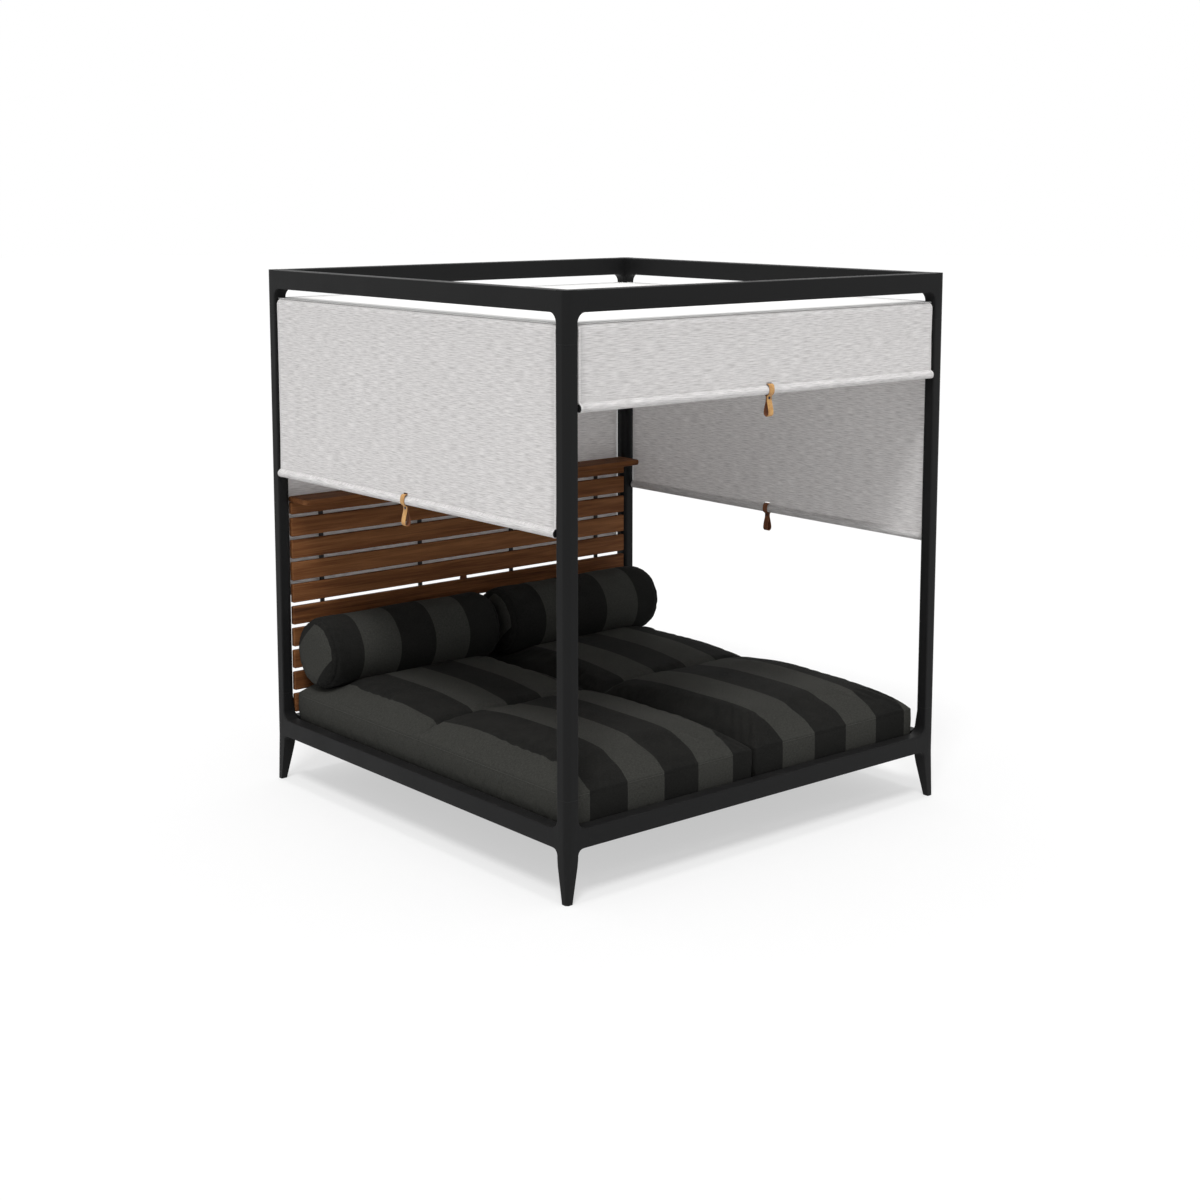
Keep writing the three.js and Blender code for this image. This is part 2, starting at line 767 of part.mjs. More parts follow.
// Underside of a bolster lying on the mattress, which presses the top down to itself
function bolsterUnderside(y) {
  const away = Math.abs(y - bolsterY);
  if (away >= bolsterRadius) return Infinity;
  return bolsterZ - Math.sqrt(bolsterRadius ** 2 - away ** 2) - bolsterBedGap;
}

function mattressSection(y) {
  const halfLength = mattressLength / 2;
  const intoEnd = Math.max(0, Math.abs(y) - (halfLength - mattressCornerRadius));
  const shrink = 1 - Math.sqrt(1 - Math.min(1, intoEnd / mattressCornerRadius) ** 2);
  const half = mattressWidth / 2 - mattressCornerRadius * shrink;
  const bottom = mattressBottom + mattressBottomRound * shrink;
  const seamX = half - mattressSeamDraw;
  const topAt = (share) => {
    const crown = mattressCrown * crownShare(share, y / (halfLength + mattressEndCrown));
    const fall = channelFall(y) * Math.sqrt(1 - share ** channelSidePower);
    const free = mattressSeamZ + Math.max(0, crown - (crown / mattressCrown) * fall);
    return Math.max(mattressSeamZ, Math.min(free, bolsterUnderside(y)));
  };
  const right = [[half - mattressBottomRound, bottom]];
  for (const [out, up] of sideShares) {
    const x = half - mattressSideDraw * (1 - out);
    right.push([x, bottom + (mattressSeamZ - bottom) * up]);
  }
  right.push([seamX, mattressSeamZ]);
  for (const share of crossShares) right.push([seamX * share, topAt(share)]);
  const left = right
    .slice(0, -1)
    .reverse()
    .map(([x, z]) => [-x, z]);
  return [...right, ...left].map(([x, z]) => new THREE.Vector3(x, y, z));
}

function mattress() {
  const halfLength = mattressLength / 2;
  const places = new Set();
  for (const s of [-1, 1]) {
    for (const share of endShares) places.add(s * (halfLength - mattressCornerRadius * share));
    for (const share of bodyShares) places.add(s * halfLength * (1 - share));
    for (const share of channelShares) places.add(channelPlace + s * channelWidth * share);
  }
  for (const share of bedShares) places.add(bolsterY + bolsterRadius * share);
  const stations = [...places].sort((a, b) => b - a);
  return loft(stations.map(mattressSection));
}

// Bolsters: a stuffed roll with a domed round end piece sewn in at each end
function bolster() {
  const half = bolsterLength / 2;
  const seam = half - bolsterCapDome;
  const full = seam - bolsterShoulder;
  const end = [[0, half]];
  for (const share of capShares) {
    const fall = 1 - Math.sqrt(1 - share ** 2);
    end.push([bolsterCapRadius * share, half - bolsterCapDome * fall]);
  }
  end.push([bolsterCapRadius, seam]);
  for (const share of shoulderShares) {
    const rise = Math.sin((share * Math.PI) / 2);
    const radius = bolsterCapRadius + (bolsterRadius - bolsterCapRadius) * rise;
    end.push([radius, seam - bolsterShoulder * share]);
  }
  const start = end.map(([radius, x]) => [radius, -x]);
  const middle = [[bolsterRadius, -full / 3], [bolsterRadius, full / 3]];
  return turned([...start, ...middle, ...end.reverse()], roundSteps);
}

function addCushions() {
  const body = mattress();
  const roll = bolster();
  for (const [name, s] of [["left", -1], ["right", 1]]) {
    const x = (s * (mattressWidth + mattressSeam)) / 2;
    addPiece("mattress_" + name, body, materials.cushion, { x });
    const place = { x: bolsterGapPlace + s * bolsterReach, y: bolsterY, z: bolsterZ };
    addPiece("bolster_" + name, roll, materials.cushion, place);
  }
}

addCornersAndPosts();
addRails();
addDeck();
addWall();
addBlinds();
addRoof();
addCushions();

export default part;
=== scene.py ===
# Looks of an outdoor daybed under a square canopy frame: roller blinds with leather
# pulls, a stretched roof cloth, striped mattresses and bolsters, teak slats, coated metal.
import math

import bmesh
import bpy
import numpy as np
from mathutils import Matrix, Vector
from mathutils.bvhtree import BVHTree


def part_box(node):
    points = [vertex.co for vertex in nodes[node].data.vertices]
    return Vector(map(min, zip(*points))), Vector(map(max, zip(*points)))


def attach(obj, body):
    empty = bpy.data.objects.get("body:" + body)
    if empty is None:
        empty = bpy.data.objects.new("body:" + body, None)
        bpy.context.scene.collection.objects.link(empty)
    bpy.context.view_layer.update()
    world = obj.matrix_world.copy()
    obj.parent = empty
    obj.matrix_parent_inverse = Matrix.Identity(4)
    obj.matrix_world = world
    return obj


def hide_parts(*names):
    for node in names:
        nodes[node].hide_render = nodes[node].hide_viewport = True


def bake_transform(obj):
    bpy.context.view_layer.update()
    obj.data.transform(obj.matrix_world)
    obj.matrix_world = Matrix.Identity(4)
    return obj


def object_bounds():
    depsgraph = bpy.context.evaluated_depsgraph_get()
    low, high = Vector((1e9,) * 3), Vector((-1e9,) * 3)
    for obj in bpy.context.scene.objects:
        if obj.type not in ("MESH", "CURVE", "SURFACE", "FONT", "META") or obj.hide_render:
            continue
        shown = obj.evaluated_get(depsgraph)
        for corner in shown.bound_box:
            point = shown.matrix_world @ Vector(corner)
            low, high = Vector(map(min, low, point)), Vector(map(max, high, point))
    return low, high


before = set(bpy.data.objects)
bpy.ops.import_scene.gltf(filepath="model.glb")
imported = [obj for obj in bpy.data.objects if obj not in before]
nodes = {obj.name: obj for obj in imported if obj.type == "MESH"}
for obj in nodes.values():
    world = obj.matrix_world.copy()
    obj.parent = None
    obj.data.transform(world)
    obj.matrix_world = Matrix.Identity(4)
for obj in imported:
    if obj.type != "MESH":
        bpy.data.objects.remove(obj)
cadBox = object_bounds()
scene = bpy.context.scene
sideTurns = {"front": 0, "right": 90, "back": 180, "left": 270}
print("frame loaded:", len(nodes), "nodes")


# Shader helpers: a socket is wired, anything else is set as the value
def feed(tree, value, socket):
    if isinstance(value, bpy.types.NodeSocket):
        tree.links.new(value, socket)
    else:
        socket.default_value = value


def calc(tree, operation, *values):
    node = tree.nodes.new("ShaderNodeMath")
    node.operation = operation
    for value, socket in zip(values, node.inputs):
        feed(tree, value, socket)
    return node.outputs[0]


def fit(tree, value, low, high, toLow=0.0, toHigh=1.0):
    node = tree.nodes.new("ShaderNodeMapRange")
    for given, socket in zip((value, low, high, toLow, toHigh), node.inputs):
        feed(tree, given, socket)
    return node.outputs[0]


def tint(tree, factor, first, second):
    node = tree.nodes.new("ShaderNodeMix")
    node.data_type = "RGBA"
    feed(tree, factor, node.inputs[0])
    feed(tree, first, node.inputs[6])
    feed(tree, second, node.inputs[7])
    return node.outputs[2]


def between(tree, factor, first, second):
    change = calc(tree, "SUBTRACT", second, first)
    return calc(tree, "MULTIPLY_ADD", change, factor, first)


def split(tree, vector):
    node = tree.nodes.new("ShaderNodeSeparateXYZ")
    feed(tree, vector, node.inputs[0])
    return node.outputs


def joined(tree, x, y, z=0.0):
    node = tree.nodes.new("ShaderNodeCombineXYZ")
    for value, socket in zip((x, y, z), node.inputs):
        feed(tree, value, socket)
    return node.outputs[0]


def scaled(tree, vector, x, y, z):
    node = tree.nodes.new("ShaderNodeVectorMath")
    node.operation = "MULTIPLY"
    feed(tree, vector, node.inputs[0])
    node.inputs[1].default_value = (x, y, z)
    return node.outputs[0]


def noiseOn(tree, vector, scale, detail=2.0, rough=0.5, warp=0.0):
    node = tree.nodes.new("ShaderNodeTexNoise")
    feed(tree, vector, node.inputs["Vector"])
    given = {"Scale": scale, "Detail": detail, "Roughness": rough, "Distortion": warp}
    for name, value in given.items():
        feed(tree, value, node.inputs[name])
    return node.outputs[0]


def spot(tree, kind="Object"):
    return tree.nodes.new("ShaderNodeTexCoord").outputs[kind]


def ramp(tree, factor, stops, mode="LINEAR"):
    node = tree.nodes.new("ShaderNodeValToRGB")
    node.color_ramp.interpolation = mode
    marks = node.color_ramp.elements
    while len(marks) < len(stops):
        marks.new(0.5)
    for mark, (place, shade) in zip(marks, sorted(stops, key=lambda stop: stop[0])):
        mark.position = place
        mark.color = shade
    feed(tree, factor, node.inputs[0])
    return node.outputs[0]


def bump(tree, height, distance, strength=1.0):
    node = tree.nodes.new("ShaderNodeBump")
    node.inputs["Strength"].default_value = strength
    node.inputs["Distance"].default_value = distance
    feed(tree, height, node.inputs["Height"])
    return node.outputs[0]


def shade(red, green, blue):
    return (red, green, blue, 1.0)


def startGroup(name, inputs, outputs):
    group = bpy.data.node_groups.new(name, "ShaderNodeTree")
    for label, value in inputs.items():
        socket = group.interface.new_socket(name=label, in_out="INPUT", socket_type="NodeSocketFloat")
        socket.default_value = value
    for label in outputs:
        group.interface.new_socket(name=label, in_out="OUTPUT", socket_type="NodeSocketFloat")
    given = group.nodes.new("NodeGroupInput").outputs
    return group, given, group.nodes.new("NodeGroupOutput").inputs


def useGroup(tree, group, values):
    node = tree.nodes.new("ShaderNodeGroup")
    node.node_tree = group
    for label, value in values.items():
        feed(tree, value, node.inputs[label])
    return node.outputs


def startMaterial(name, sockets):
    material = bpy.data.materials.new(name)
    material.use_nodes = True
    tree = material.node_tree
    shader = tree.nodes["Principled BSDF"]
    for label, value in sockets.items():
        feed(tree, value, shader.inputs[label])
    return material, tree, shader


# Plain weave on whichever plane a face lies in, with slubs across and flecks both ways
yarnShape = {
    "flatFrom": 0.7,  # a normal this far up takes the weave of a level cloth
    "fineness": 0.42,  # of a thread's width
    "slubDetail": 3.0,
    "slubRough": 0.6,
    "slubRelief": 0.8,
}


def makeWovenYarn():
    sizes = {"Thread": 0.0016, "Slub": 0.04}
    group, given, made = startGroup("wovenYarn", sizes, ("Height", "Streak", "Fleck"))
    x, y, z = split(group, spot(group))
    nx, ny, nz = (calc(group, "ABSOLUTE", n) for n in split(group, spot(group, "Normal")))
    flat = calc(group, "GREATER_THAN", nz, yarnShape["flatFrom"])
    sideways = calc(group, "GREATER_THAN", nx, ny)
    across = between(group, flat, between(group, sideways, x, y), x)
    along = between(group, flat, z, y)
    waves = []
    for place in (across, along):
        turn = calc(group, "DIVIDE", calc(group, "MULTIPLY", place, math.pi), given["Thread"])
        waves.append(calc(group, "SINE", turn))
    over = calc(group, "GREATER_THAN", calc(group, "MULTIPLY", *waves), 0.0)
    crowns = [calc(group, "ABSOLUTE", wave) for wave in waves]
    fine = calc(group, "DIVIDE", yarnShape["fineness"], given["Thread"])
    coarse = calc(group, "DIVIDE", 1.0, given["Slub"])
    runs = []
    for a, b in ((coarse, fine), (fine, coarse)):
        place = joined(group, calc(group, "MULTIPLY", across, a), calc(group, "MULTIPLY", along, b))
        runs.append(noiseOn(group, place, 1.0, yarnShape["slubDetail"], yarnShape["slubRough"]))
    height = between(group, over, crowns[1], crowns[0])
    height = calc(group, "MULTIPLY_ADD", runs[0], yarnShape["slubRelief"], height)
    feed(group, height, made["Height"])
    feed(group, runs[0], made["Streak"])
    feed(group, calc(group, "MULTIPLY", calc(group, "ADD", *runs), 0.5), made["Fleck"])
    return group


# Fine pebble of sprayed or moulded surfaces, and a slow change of tone over them
def makeCoatGrain():
    group, given, made = startGroup("coatGrain", {"Size": 0.0012}, ("Height", "Tone"))
    place = spot(group)
    feed(group, noiseOn(group, place, calc(group, "DIVIDE", 1.0, given["Size"]), 2.0), made["Height"])
    feed(group, noiseOn(group, place, 5.0, 4.0, 0.6), made["Tone"])
    return group


# Where an outer edge has been rubbed, and on coated metal also a painted highlight along it, broken up along
# its length
def makeEdgeWearAndHighlight():
    group, given, made = startGroup("edgeWearAndHighlight", {"Radius": 0.003, "Gain": 6.0}, ("Mask",))
    bevel = group.nodes.new("ShaderNodeBevel")
    bevel.samples = 4
    feed(group, given["Radius"], bevel.inputs["Radius"])
    dot = group.nodes.new("ShaderNodeVectorMath")
    dot.operation = "DOT_PRODUCT"
    feed(group, bevel.outputs[0], dot.inputs[0])
    feed(group, group.nodes.new("ShaderNodeNewGeometry").outputs["Normal"], dot.inputs[1])
    turned = calc(group, "MULTIPLY", calc(group, "SUBTRACT", 1.0, dot.outputs["Value"]), given["Gain"])
    patches = fit(group, noiseOn(group, spot(group), 40.0, 4.0, 0.65), 0.35, 0.7)
    edge = calc(group, "MINIMUM", calc(group, "MAXIMUM", turned, 0.0), 1.0)
    feed(group, calc(group, "MULTIPLY", edge, patches), made["Mask"])
    return group


# Faint dust that lies on what faces up
def makeSettledDust():
    group, given, made = startGroup("settledDust", {"Amount": 0.3}, ("Mask",))
    up = split(group, spot(group, "Normal"))[2]
    facing = fit(group, up, 0.6, 1.0)
    cloud = fit(group, noiseOn(group, spot(group), 9.0, 6.0, 0.7), 0.35, 0.75)
    amount = calc(group, "MULTIPLY", calc(group, "MULTIPLY", facing, cloud), given["Amount"])
    feed(group, amount, made["Mask"])
    return group


wovenYarn = makeWovenYarn()
coatGrain = makeCoatGrain()
edgeWearAndHighlight = makeEdgeWearAndHighlight()
settledDust = makeSettledDust()
dustShade = shade(0.30, 0.28, 0.25)


def wearAndHighlightOf(tree, radius, gain, share):
    # how far an edge shows its worn colour, which on coated metal is also a painted highlight
    mask = useGroup(tree, edgeWearAndHighlight, {"Radius": radius, "Gain": gain})["Mask"]
    return calc(tree, "MULTIPLY", mask, share)


def dustOn(tree, base, amount):
    # the dusted colour, and where the dust lies
    dust = useGroup(tree, settledDust, {"Amount": amount})["Mask"]
    return tint(tree, dust, base, dustShade), dust


def startCloth(name, finish):
    # a material with the woven relief already in it
    material, tree, shader = startMaterial(name, finish["sockets"])
    yarn = useGroup(tree, wovenYarn, {"Thread": finish["thread"], "Slub": finish["slub"]})
    feed(tree, bump(tree, yarn["Height"], *finish["relief"]), shader.inputs["Normal"])
    return material, tree, shader, yarn


# Coated metal and moulded plastic share one recipe with their own values
metalFinishes = {
    "frameCoat": {
        "base": shade(0.0092, 0.0093, 0.0095),
        "variant": shade(0.0113, 0.0114, 0.0116),
        # lighter colour of the outer edges: wear and a painted highlight
        "wornAndHighlight": shade(0.030, 0.030, 0.031),
        "roughness": 0.46,
        "specular": 0.08,
        "grain": 0.0011,
        "relief": 0.00005,
        "dust": 0.02,
        "edge": 0.0035,
    },
    "darkBar": {
        "base": shade(0.010, 0.010, 0.011),
        "variant": shade(0.016, 0.015, 0.015),
        "wornAndHighlight": shade(0.06, 0.058, 0.055),
        "roughness": 0.5,
        "specular": 0.3,
        "grain": 0.0016,
        "relief": 0.00007,
        "dust": 0.16,
        "edge": 0.002,
    },
    "blackCap": {
        "base": shade(0.006, 0.006, 0.0065),
        "variant": shade(0.009, 0.009, 0.009),
        "wornAndHighlight": shade(0.03, 0.03, 0.03),
        "roughness": 0.36,
        "specular": 0.35,
        "grain": 0.0006,
        "relief": 0.00002,
        "dust": 0.05,
        "edge": 0.001,
    },
}


def coatedMetal(name):
    finish = metalFinishes[name]
    material, tree, shader = startMaterial(name, {"Specular IOR Level": finish["specular"]})
    grain = useGroup(tree, coatGrain, {"Size": finish["grain"]})
    base = tint(tree, grain["Tone"], finish["base"], finish["variant"])
    # lighter outer edges: wear, and also a painted highlight
    base = tint(tree, wearAndHighlightOf(tree, finish["edge"], 5.0, 0.7), base, finish["wornAndHighlight"])
    base, dust = dustOn(tree, base, finish["dust"])
    feed(tree, base, shader.inputs["Base Color"])
    rough = calc(tree, "ADD", fit(tree, grain["Tone"], 0.3, 0.7, -0.05, 0.07), finish["roughness"])
    feed(tree, calc(tree, "ADD", rough, dust), shader.inputs["Roughness"])
    feed(tree, bump(tree, grain["Height"], finish["relief"]), shader.inputs["Normal"])
    return material


# Teak: grain along X, with each slat's own run of it taken from the slat's height
teakFinish = {
    "dark": shade(0.055, 0.019, 0.0075),
    "mid": shade(0.135, 0.051, 0.018),
    "light": shade(0.240, 0.104, 0.040),
    "worn": shade(0.27, 0.13, 0.06),
    "pitch": 0.1,
    "firstSlat": 0.2957,
    "shift": (7.0, 3.0, 0.5),  # how far apart the slats' own runs of grain lie
    "figure": (1.5, 34.0, 34.0),
    "streaks": (6.0, 320.0, 320.0),
    "pores": (55.0, 1500.0, 1500.0),
    "tones": (0.30, 0.47, 0.68),
    "slatTone": 0.07,
    "pitShare": 0.55,
    "wornShare": 0.5,
    "wornRadius": 0.004,
    "dust": 0.03,
    "relief": 0.00025,
}


def teakWood():
    finish = teakFinish
    material, tree, shader = startMaterial("oiledTeak", {"Specular IOR Level": 0.08})
    x, y, z = split(tree, spot(tree))
    rise = calc(tree, "SUBTRACT", z, finish["firstSlat"])
    row = calc(tree, "FLOOR", calc(tree, "DIVIDE", rise, finish["pitch"]))
    chance = tree.nodes.new("ShaderNodeTexWhiteNoise")
    chance.noise_dimensions = "1D"
    feed(tree, row, chance.inputs["W"])
    own = chance.outputs["Value"]
    moved = [calc(tree, "MULTIPLY_ADD", own, far, part) for far, part in zip(finish["shift"], (x, y, z))]
    place = joined(tree, *moved)
    figure = noiseOn(tree, scaled(tree, place, *finish["figure"]), 1.0, 4.0, 0.6, 0.7)
    streaks = noiseOn(tree, scaled(tree, place, *finish["streaks"]), 1.0, 3.0, 0.6)
    pores = noiseOn(tree, scaled(tree, place, *finish["pores"]), 1.0, 1.0, 0.5)
    tone = calc(tree, "MULTIPLY_ADD", figure, 0.6, calc(tree, "MULTIPLY", streaks, 0.4))
    slatTone = fit(tree, own, 0.0, 1.0, -finish["slatTone"], finish["slatTone"])
    tone = calc(tree, "ADD", tone, slatTone)
    shades = [finish[key] for key in ("dark", "mid", "light")]
    base = ramp(tree, tone, list(zip(finish["tones"], shades)))
    pit = fit(tree, pores, 0.34, 0.26)
    base = tint(tree, calc(tree, "MULTIPLY", pit, finish["pitShare"]), base, finish["dark"])
    base = tint(tree, wearAndHighlightOf(tree, finish["wornRadius"], 5.0, finish["wornShare"]), base, finish["worn"])
    feed(tree, dustOn(tree, base, finish["dust"])[0], shader.inputs["Base Color"])
    feed(tree, fit(tree, tone, 0.3, 0.7, 0.72, 0.58), shader.inputs["Roughness"])
    relief = calc(tree, "MULTIPLY_ADD", pit, -0.8, streaks)
    feed(tree, bump(tree, relief, finish["relief"]), shader.inputs["Normal"])
    return material


# Light outdoor cloth of the blinds, with its turned side hems, a painted shade line in each hem's fold, and
# their stitches
blindFinish = {
    "sockets": {"Specular IOR Level": 0.15, "Roughness": 0.85, "Sheen Weight": 0.12, "Sheen Roughness": 0.5},
    "base": shade(0.915, 0.90, 0.895),
    "slubShade": shade(0.62, 0.605, 0.600),
    "pale": shade(0.96, 0.95, 0.945),
    # painted shade in the fold along each side hem's inner edge
    "crease": shade(0.42, 0.41, 0.40),
    "cap": shade(0.007, 0.007, 0.0075),
    "through": 0.33,
    "thread": 0.0013,
    "slub": 0.060,
    "relief": (0.00012, 0.8),
    "streakRange": (0.34, 0.60),
    "fleckRange": (0.56, 0.76),
    "cloudShare": 0.08,
    "hemEdge": 0.9554,
    "foldWidth": 0.0009,
    "hemShadeShare": 0.55,
    "stitchLine": 0.9572,
    "stitchHalf": 0.0005,
    "stitchPitch": 0.005,
    "stitchLength": 0.72,  # of the pitch
    "stitchShare": 0.6,
    "capEdge": 0.9671,
    "capRoughness": 0.4,
}


def letThrough(tree, shader, colour, share):
    # daylight passes through thin cloth, spread out by its yarns
    glow = tree.nodes.new("ShaderNodeBsdfTranslucent")
    feed(tree, colour, glow.inputs["Color"])
    both = tree.nodes.new("ShaderNodeMixShader")
    feed(tree, share, both.inputs[0])
    feed(tree, shader.outputs[0], both.inputs[1])
    feed(tree, glow.outputs[0], both.inputs[2])
    feed(tree, both.outputs[0], tree.nodes["Material Output"].inputs["Surface"])


def sideDistance(tree):
    # how far a place is from the middle of its side, and its height
    x, y, z = split(tree, spot(tree))
    return calc(tree, "MINIMUM", calc(tree, "ABSOLUTE", x), calc(tree, "ABSOLUTE", y)), z


def blindFabric(name, rolled=False):
    finish = blindFinish
    material, tree, shader, yarn = startCloth(name, finish)
    cloud = noiseOn(tree, spot(tree), 4.0, 3.0)
    streak = fit(tree, yarn["Streak"], *finish["streakRange"])
    base = tint(tree, streak, finish["slubShade"], finish["base"])
    base = tint(tree, fit(tree, yarn["Fleck"], *finish["fleckRange"]), base, finish["pale"])
    base = tint(tree, fit(tree, cloud, 0.3, 0.7, 0.0, finish["cloudShare"]), base, finish["slubShade"])
    fromMiddle, height = sideDistance(tree)
    if rolled:
        # end caps of the roll are black plastic
        cap = calc(tree, "GREATER_THAN", fromMiddle, finish["capEdge"])
        base = tint(tree, cap, base, finish["cap"])
        plain = finish["sockets"]["Roughness"]
        feed(tree, between(tree, cap, plain, finish["capRoughness"]), shader.inputs["Roughness"])
    else:
        # painted shade in the fold along the side hem's inner edge
        away = calc(tree, "ABSOLUTE", calc(tree, "SUBTRACT", fromMiddle, finish["hemEdge"]))
        fold = fit(tree, away, 0.0, finish["foldWidth"], 1.0, 0.0)
        base = tint(tree, calc(tree, "MULTIPLY", fold, finish["hemShadeShare"]), base, finish["crease"])
        off = calc(tree, "ABSOLUTE", calc(tree, "SUBTRACT", fromMiddle, finish["stitchLine"]))
        beat = calc(tree, "FRACT", calc(tree, "DIVIDE", height, finish["stitchPitch"]))
        inLine = calc(tree, "LESS_THAN", off, finish["stitchHalf"])
        onThread = calc(tree, "LESS_THAN", beat, finish["stitchLength"])
        stitch = calc(tree, "MULTIPLY", calc(tree, "MULTIPLY", inLine, onThread), finish["stitchShare"])
        base = tint(tree, stitch, base, finish["pale"])
        letThrough(tree, shader, base, finish["through"])
    feed(tree, base, shader.inputs["Base Color"])
    return material


roofFinish = {
    "sockets": {"Specular IOR Level": 0.15, "Roughness": 0.8, "Sheen Weight": 0.08},
    "base": shade(0.86, 0.855, 0.845),
    "pale": shade(0.93, 0.925, 0.915),
    "stain": shade(0.72, 0.70, 0.66),
    "thread": 0.0018,
    "slub": 0.03,
    "relief": (0.00014, 0.8),
    "fleckRange": (0.35, 0.65),
    "stainShare": 0.10,
}


def roofFabric():
    finish = roofFinish
    material, tree, shader, yarn = startCloth("roofFabric", finish)
    base = tint(tree, fit(tree, yarn["Fleck"], *finish["fleckRange"]), finish["base"], finish["pale"])
    stain = fit(tree, noiseOn(tree, spot(tree), 3.0, 5.0, 0.6), 0.5, 0.8, 0.0, finish["stainShare"])
    base = tint(tree, stain, base, finish["stain"])
    feed(tree, base, shader.inputs["Base Color"])
    return material


# Vegetable tanned leather: smooth outside, rougher and redder on the flesh side, whose dark colour also
# stands as painted shade on the back run
leatherFinishes = {
    "strapLeather": {
        "base": shade(0.60, 0.350, 0.125),
        "deep": shade(0.36, 0.17, 0.05),
        "edge": shade(0.30, 0.13, 0.04),
        "roughness": 0.46,
        "relief": 0.00012,
    },
    # dark enough to serve also as painted shade on the back run's outer face
    "strapFleshAndShade": {
        "base": shade(0.20, 0.072, 0.028),
        "deep": shade(0.12, 0.040, 0.015),
        "edge": shade(0.26, 0.12, 0.045),
        "roughness": 0.8,
        "relief": 0.0003,
    },
}


def tannedLeather(name):
    finish = leatherFinishes[name]
    material, tree, shader = startMaterial(name, {"Specular IOR Level": 0.4})
    place = spot(tree)
    cells = tree.nodes.new("ShaderNodeTexVoronoi")
    feed(tree, place, cells.inputs["Vector"])
    cells.inputs["Scale"].default_value = 900.0
    wrinkle = noiseOn(tree, place, 160.0, 5.0, 0.6)
    grain = calc(tree, "MULTIPLY_ADD", cells.outputs["Distance"], 0.6, wrinkle)
    cloud = fit(tree, noiseOn(tree, place, 45.0, 4.0, 0.6), 0.35, 0.7)
    base = tint(tree, cloud, finish["base"], finish["deep"])
    base = tint(tree, fit(tree, grain, 0.9, 0.6, 0.0, 0.35), base, finish["deep"])
    base = tint(tree, wearAndHighlightOf(tree, 0.0012, 4.0, 0.7), base, finish["edge"])
    feed(tree, base, shader.inputs["Base Color"])
    rough = fit(tree, grain, 0.4, 1.0, finish["roughness"] - 0.06, finish["roughness"] + 0.1)
    feed(tree, rough, shader.inputs["Roughness"])
    feed(tree, bump(tree, grain, finish["relief"], 0.7), shader.inputs["Normal"])
    return material


def brightMetal(name, base, roughness):
    material, tree, shader = startMaterial(name, {"Metallic": 1.0})
    grain = useGroup(tree, coatGrain, {"Size": 0.0004})
    darker = shade(*(0.8 * part for part in base[:3]))
    feed(tree, tint(tree, fit(tree, grain["Tone"], 0.3, 0.7), base, darker), shader.inputs["Base Color"])
    rough = fit(tree, grain["Height"], 0.3, 0.7, roughness - 0.06, roughness + 0.08)
    feed(tree, rough, shader.inputs["Roughness"])
    feed(tree, bump(tree, grain["Height"], 0.00001), shader.inputs["Normal"])
    return material


# Striped upholstery. Edges are the places in X where the colour changes, light first or not.
stripeFinish = {
    "sockets": {"Specular IOR Level": 0.04, "Roughness": 0.9, "Sheen Weight": 0.01, "Sheen Roughness": 0.45},
    "dark": shade(0.0081, 0.0081, 0.0076),
    "darkFleck": shade(0.0147, 0.0147, 0.0138),
    "light": shade(0.0295, 0.0295, 0.0265),
    "lightFleck": shade(0.0488, 0.0488, 0.0442),
    "thread": 0.0017,
    "slub": 0.012,
    "relief": (0.00022, 0.9),
    "fleckRange": (0.38, 0.66),
    "reach": 1.1,
    "wander": 0.0016,
    "wornShare": 0.25,
    "wornTone": 0.35,
    "dust": 0.02,
}


def stripedCloth(name, edges, lightFirst, band=None, pale=1.0):
    finish = stripeFinish
    material, tree, shader, yarn = startCloth(name, finish)
    place = spot(tree)
    x, y, z = split(tree, place)
    sway = calc(tree, "SUBTRACT", noiseOn(tree, place, 60.0, 2.0), 0.5)
    shifted = calc(tree, "MULTIPLY_ADD", sway, finish["wander"], x)
    reach = finish["reach"]
    stops = [(0.0, 1.0 if lightFirst else 0.0)]
    for i, edge in enumerate(edges):
        stops.append(((edge / reach + 1) / 2, float((i % 2 == 0) != lightFirst)))
    stops = [(place, shade(value, value, value)) for place, value in stops]
    stripe = ramp(tree, fit(tree, shifted, -reach, reach), stops, "CONSTANT")
    if band:
        # round ends are cut from the same cloth, with one light stripe leaning across the middle
        along = calc(tree, "ABSOLUTE", calc(tree, "SUBTRACT", x, band["middle"]))
        onEnd = calc(tree, "GREATER_THAN", along, band["seam"])
        offs = [calc(tree, "SUBTRACT", part, axis) for part, axis in zip((y, z), band["axis"])]
        off = calc(tree, "ADD", *offs)
        crossing = calc(tree, "LESS_THAN", calc(tree, "ABSOLUTE", off), band["half"] * math.sqrt(2))
        stripe = between(tree, onEnd, stripe, crossing)
    fleck = fit(tree, yarn["Fleck"], *finish["fleckRange"])
    dark = tint(tree, fleck, finish["dark"], finish["darkFleck"])
    # pale lifts the light stripes, as a painted highlight on the seam piping
    lights = [shade(*(pale * part for part in finish[key][:3])) for key in ("light", "lightFleck")]
    base = tint(tree, stripe, dark, tint(tree, fleck, *lights))
    worn = fit(tree, noiseOn(tree, place, 4.0, 5.0, 0.6), 0.35, 0.75, 0.0, finish["wornShare"])
    base = tint(tree, worn, base, tint(tree, finish["wornTone"], base, finish["lightFleck"]))
    feed(tree, dustOn(tree, base, finish["dust"])[0], shader.inputs["Base Color"])
    return material


frameCoat = coatedMetal("frameCoat")
darkBar = coatedMetal("darkBar")
blackCap = coatedMetal("blackCap")
oiledTeak = teakWood()
blindWeave = blindFabric("blindWeave")
rollWeave = blindFabric("rollWeave", rolled=True)
roofWeave = roofFabric()
strapLeather = tannedLeather("strapLeather")
strapFleshAndShade = tannedLeather("strapFleshAndShade")
rivetMetal = brightMetal("rivetMetal", shade(0.055, 0.06, 0.08), 0.3)
screwMetal = brightMetal("screwMetal", shade(0.55, 0.54, 0.52), 0.35)
print("materials made")


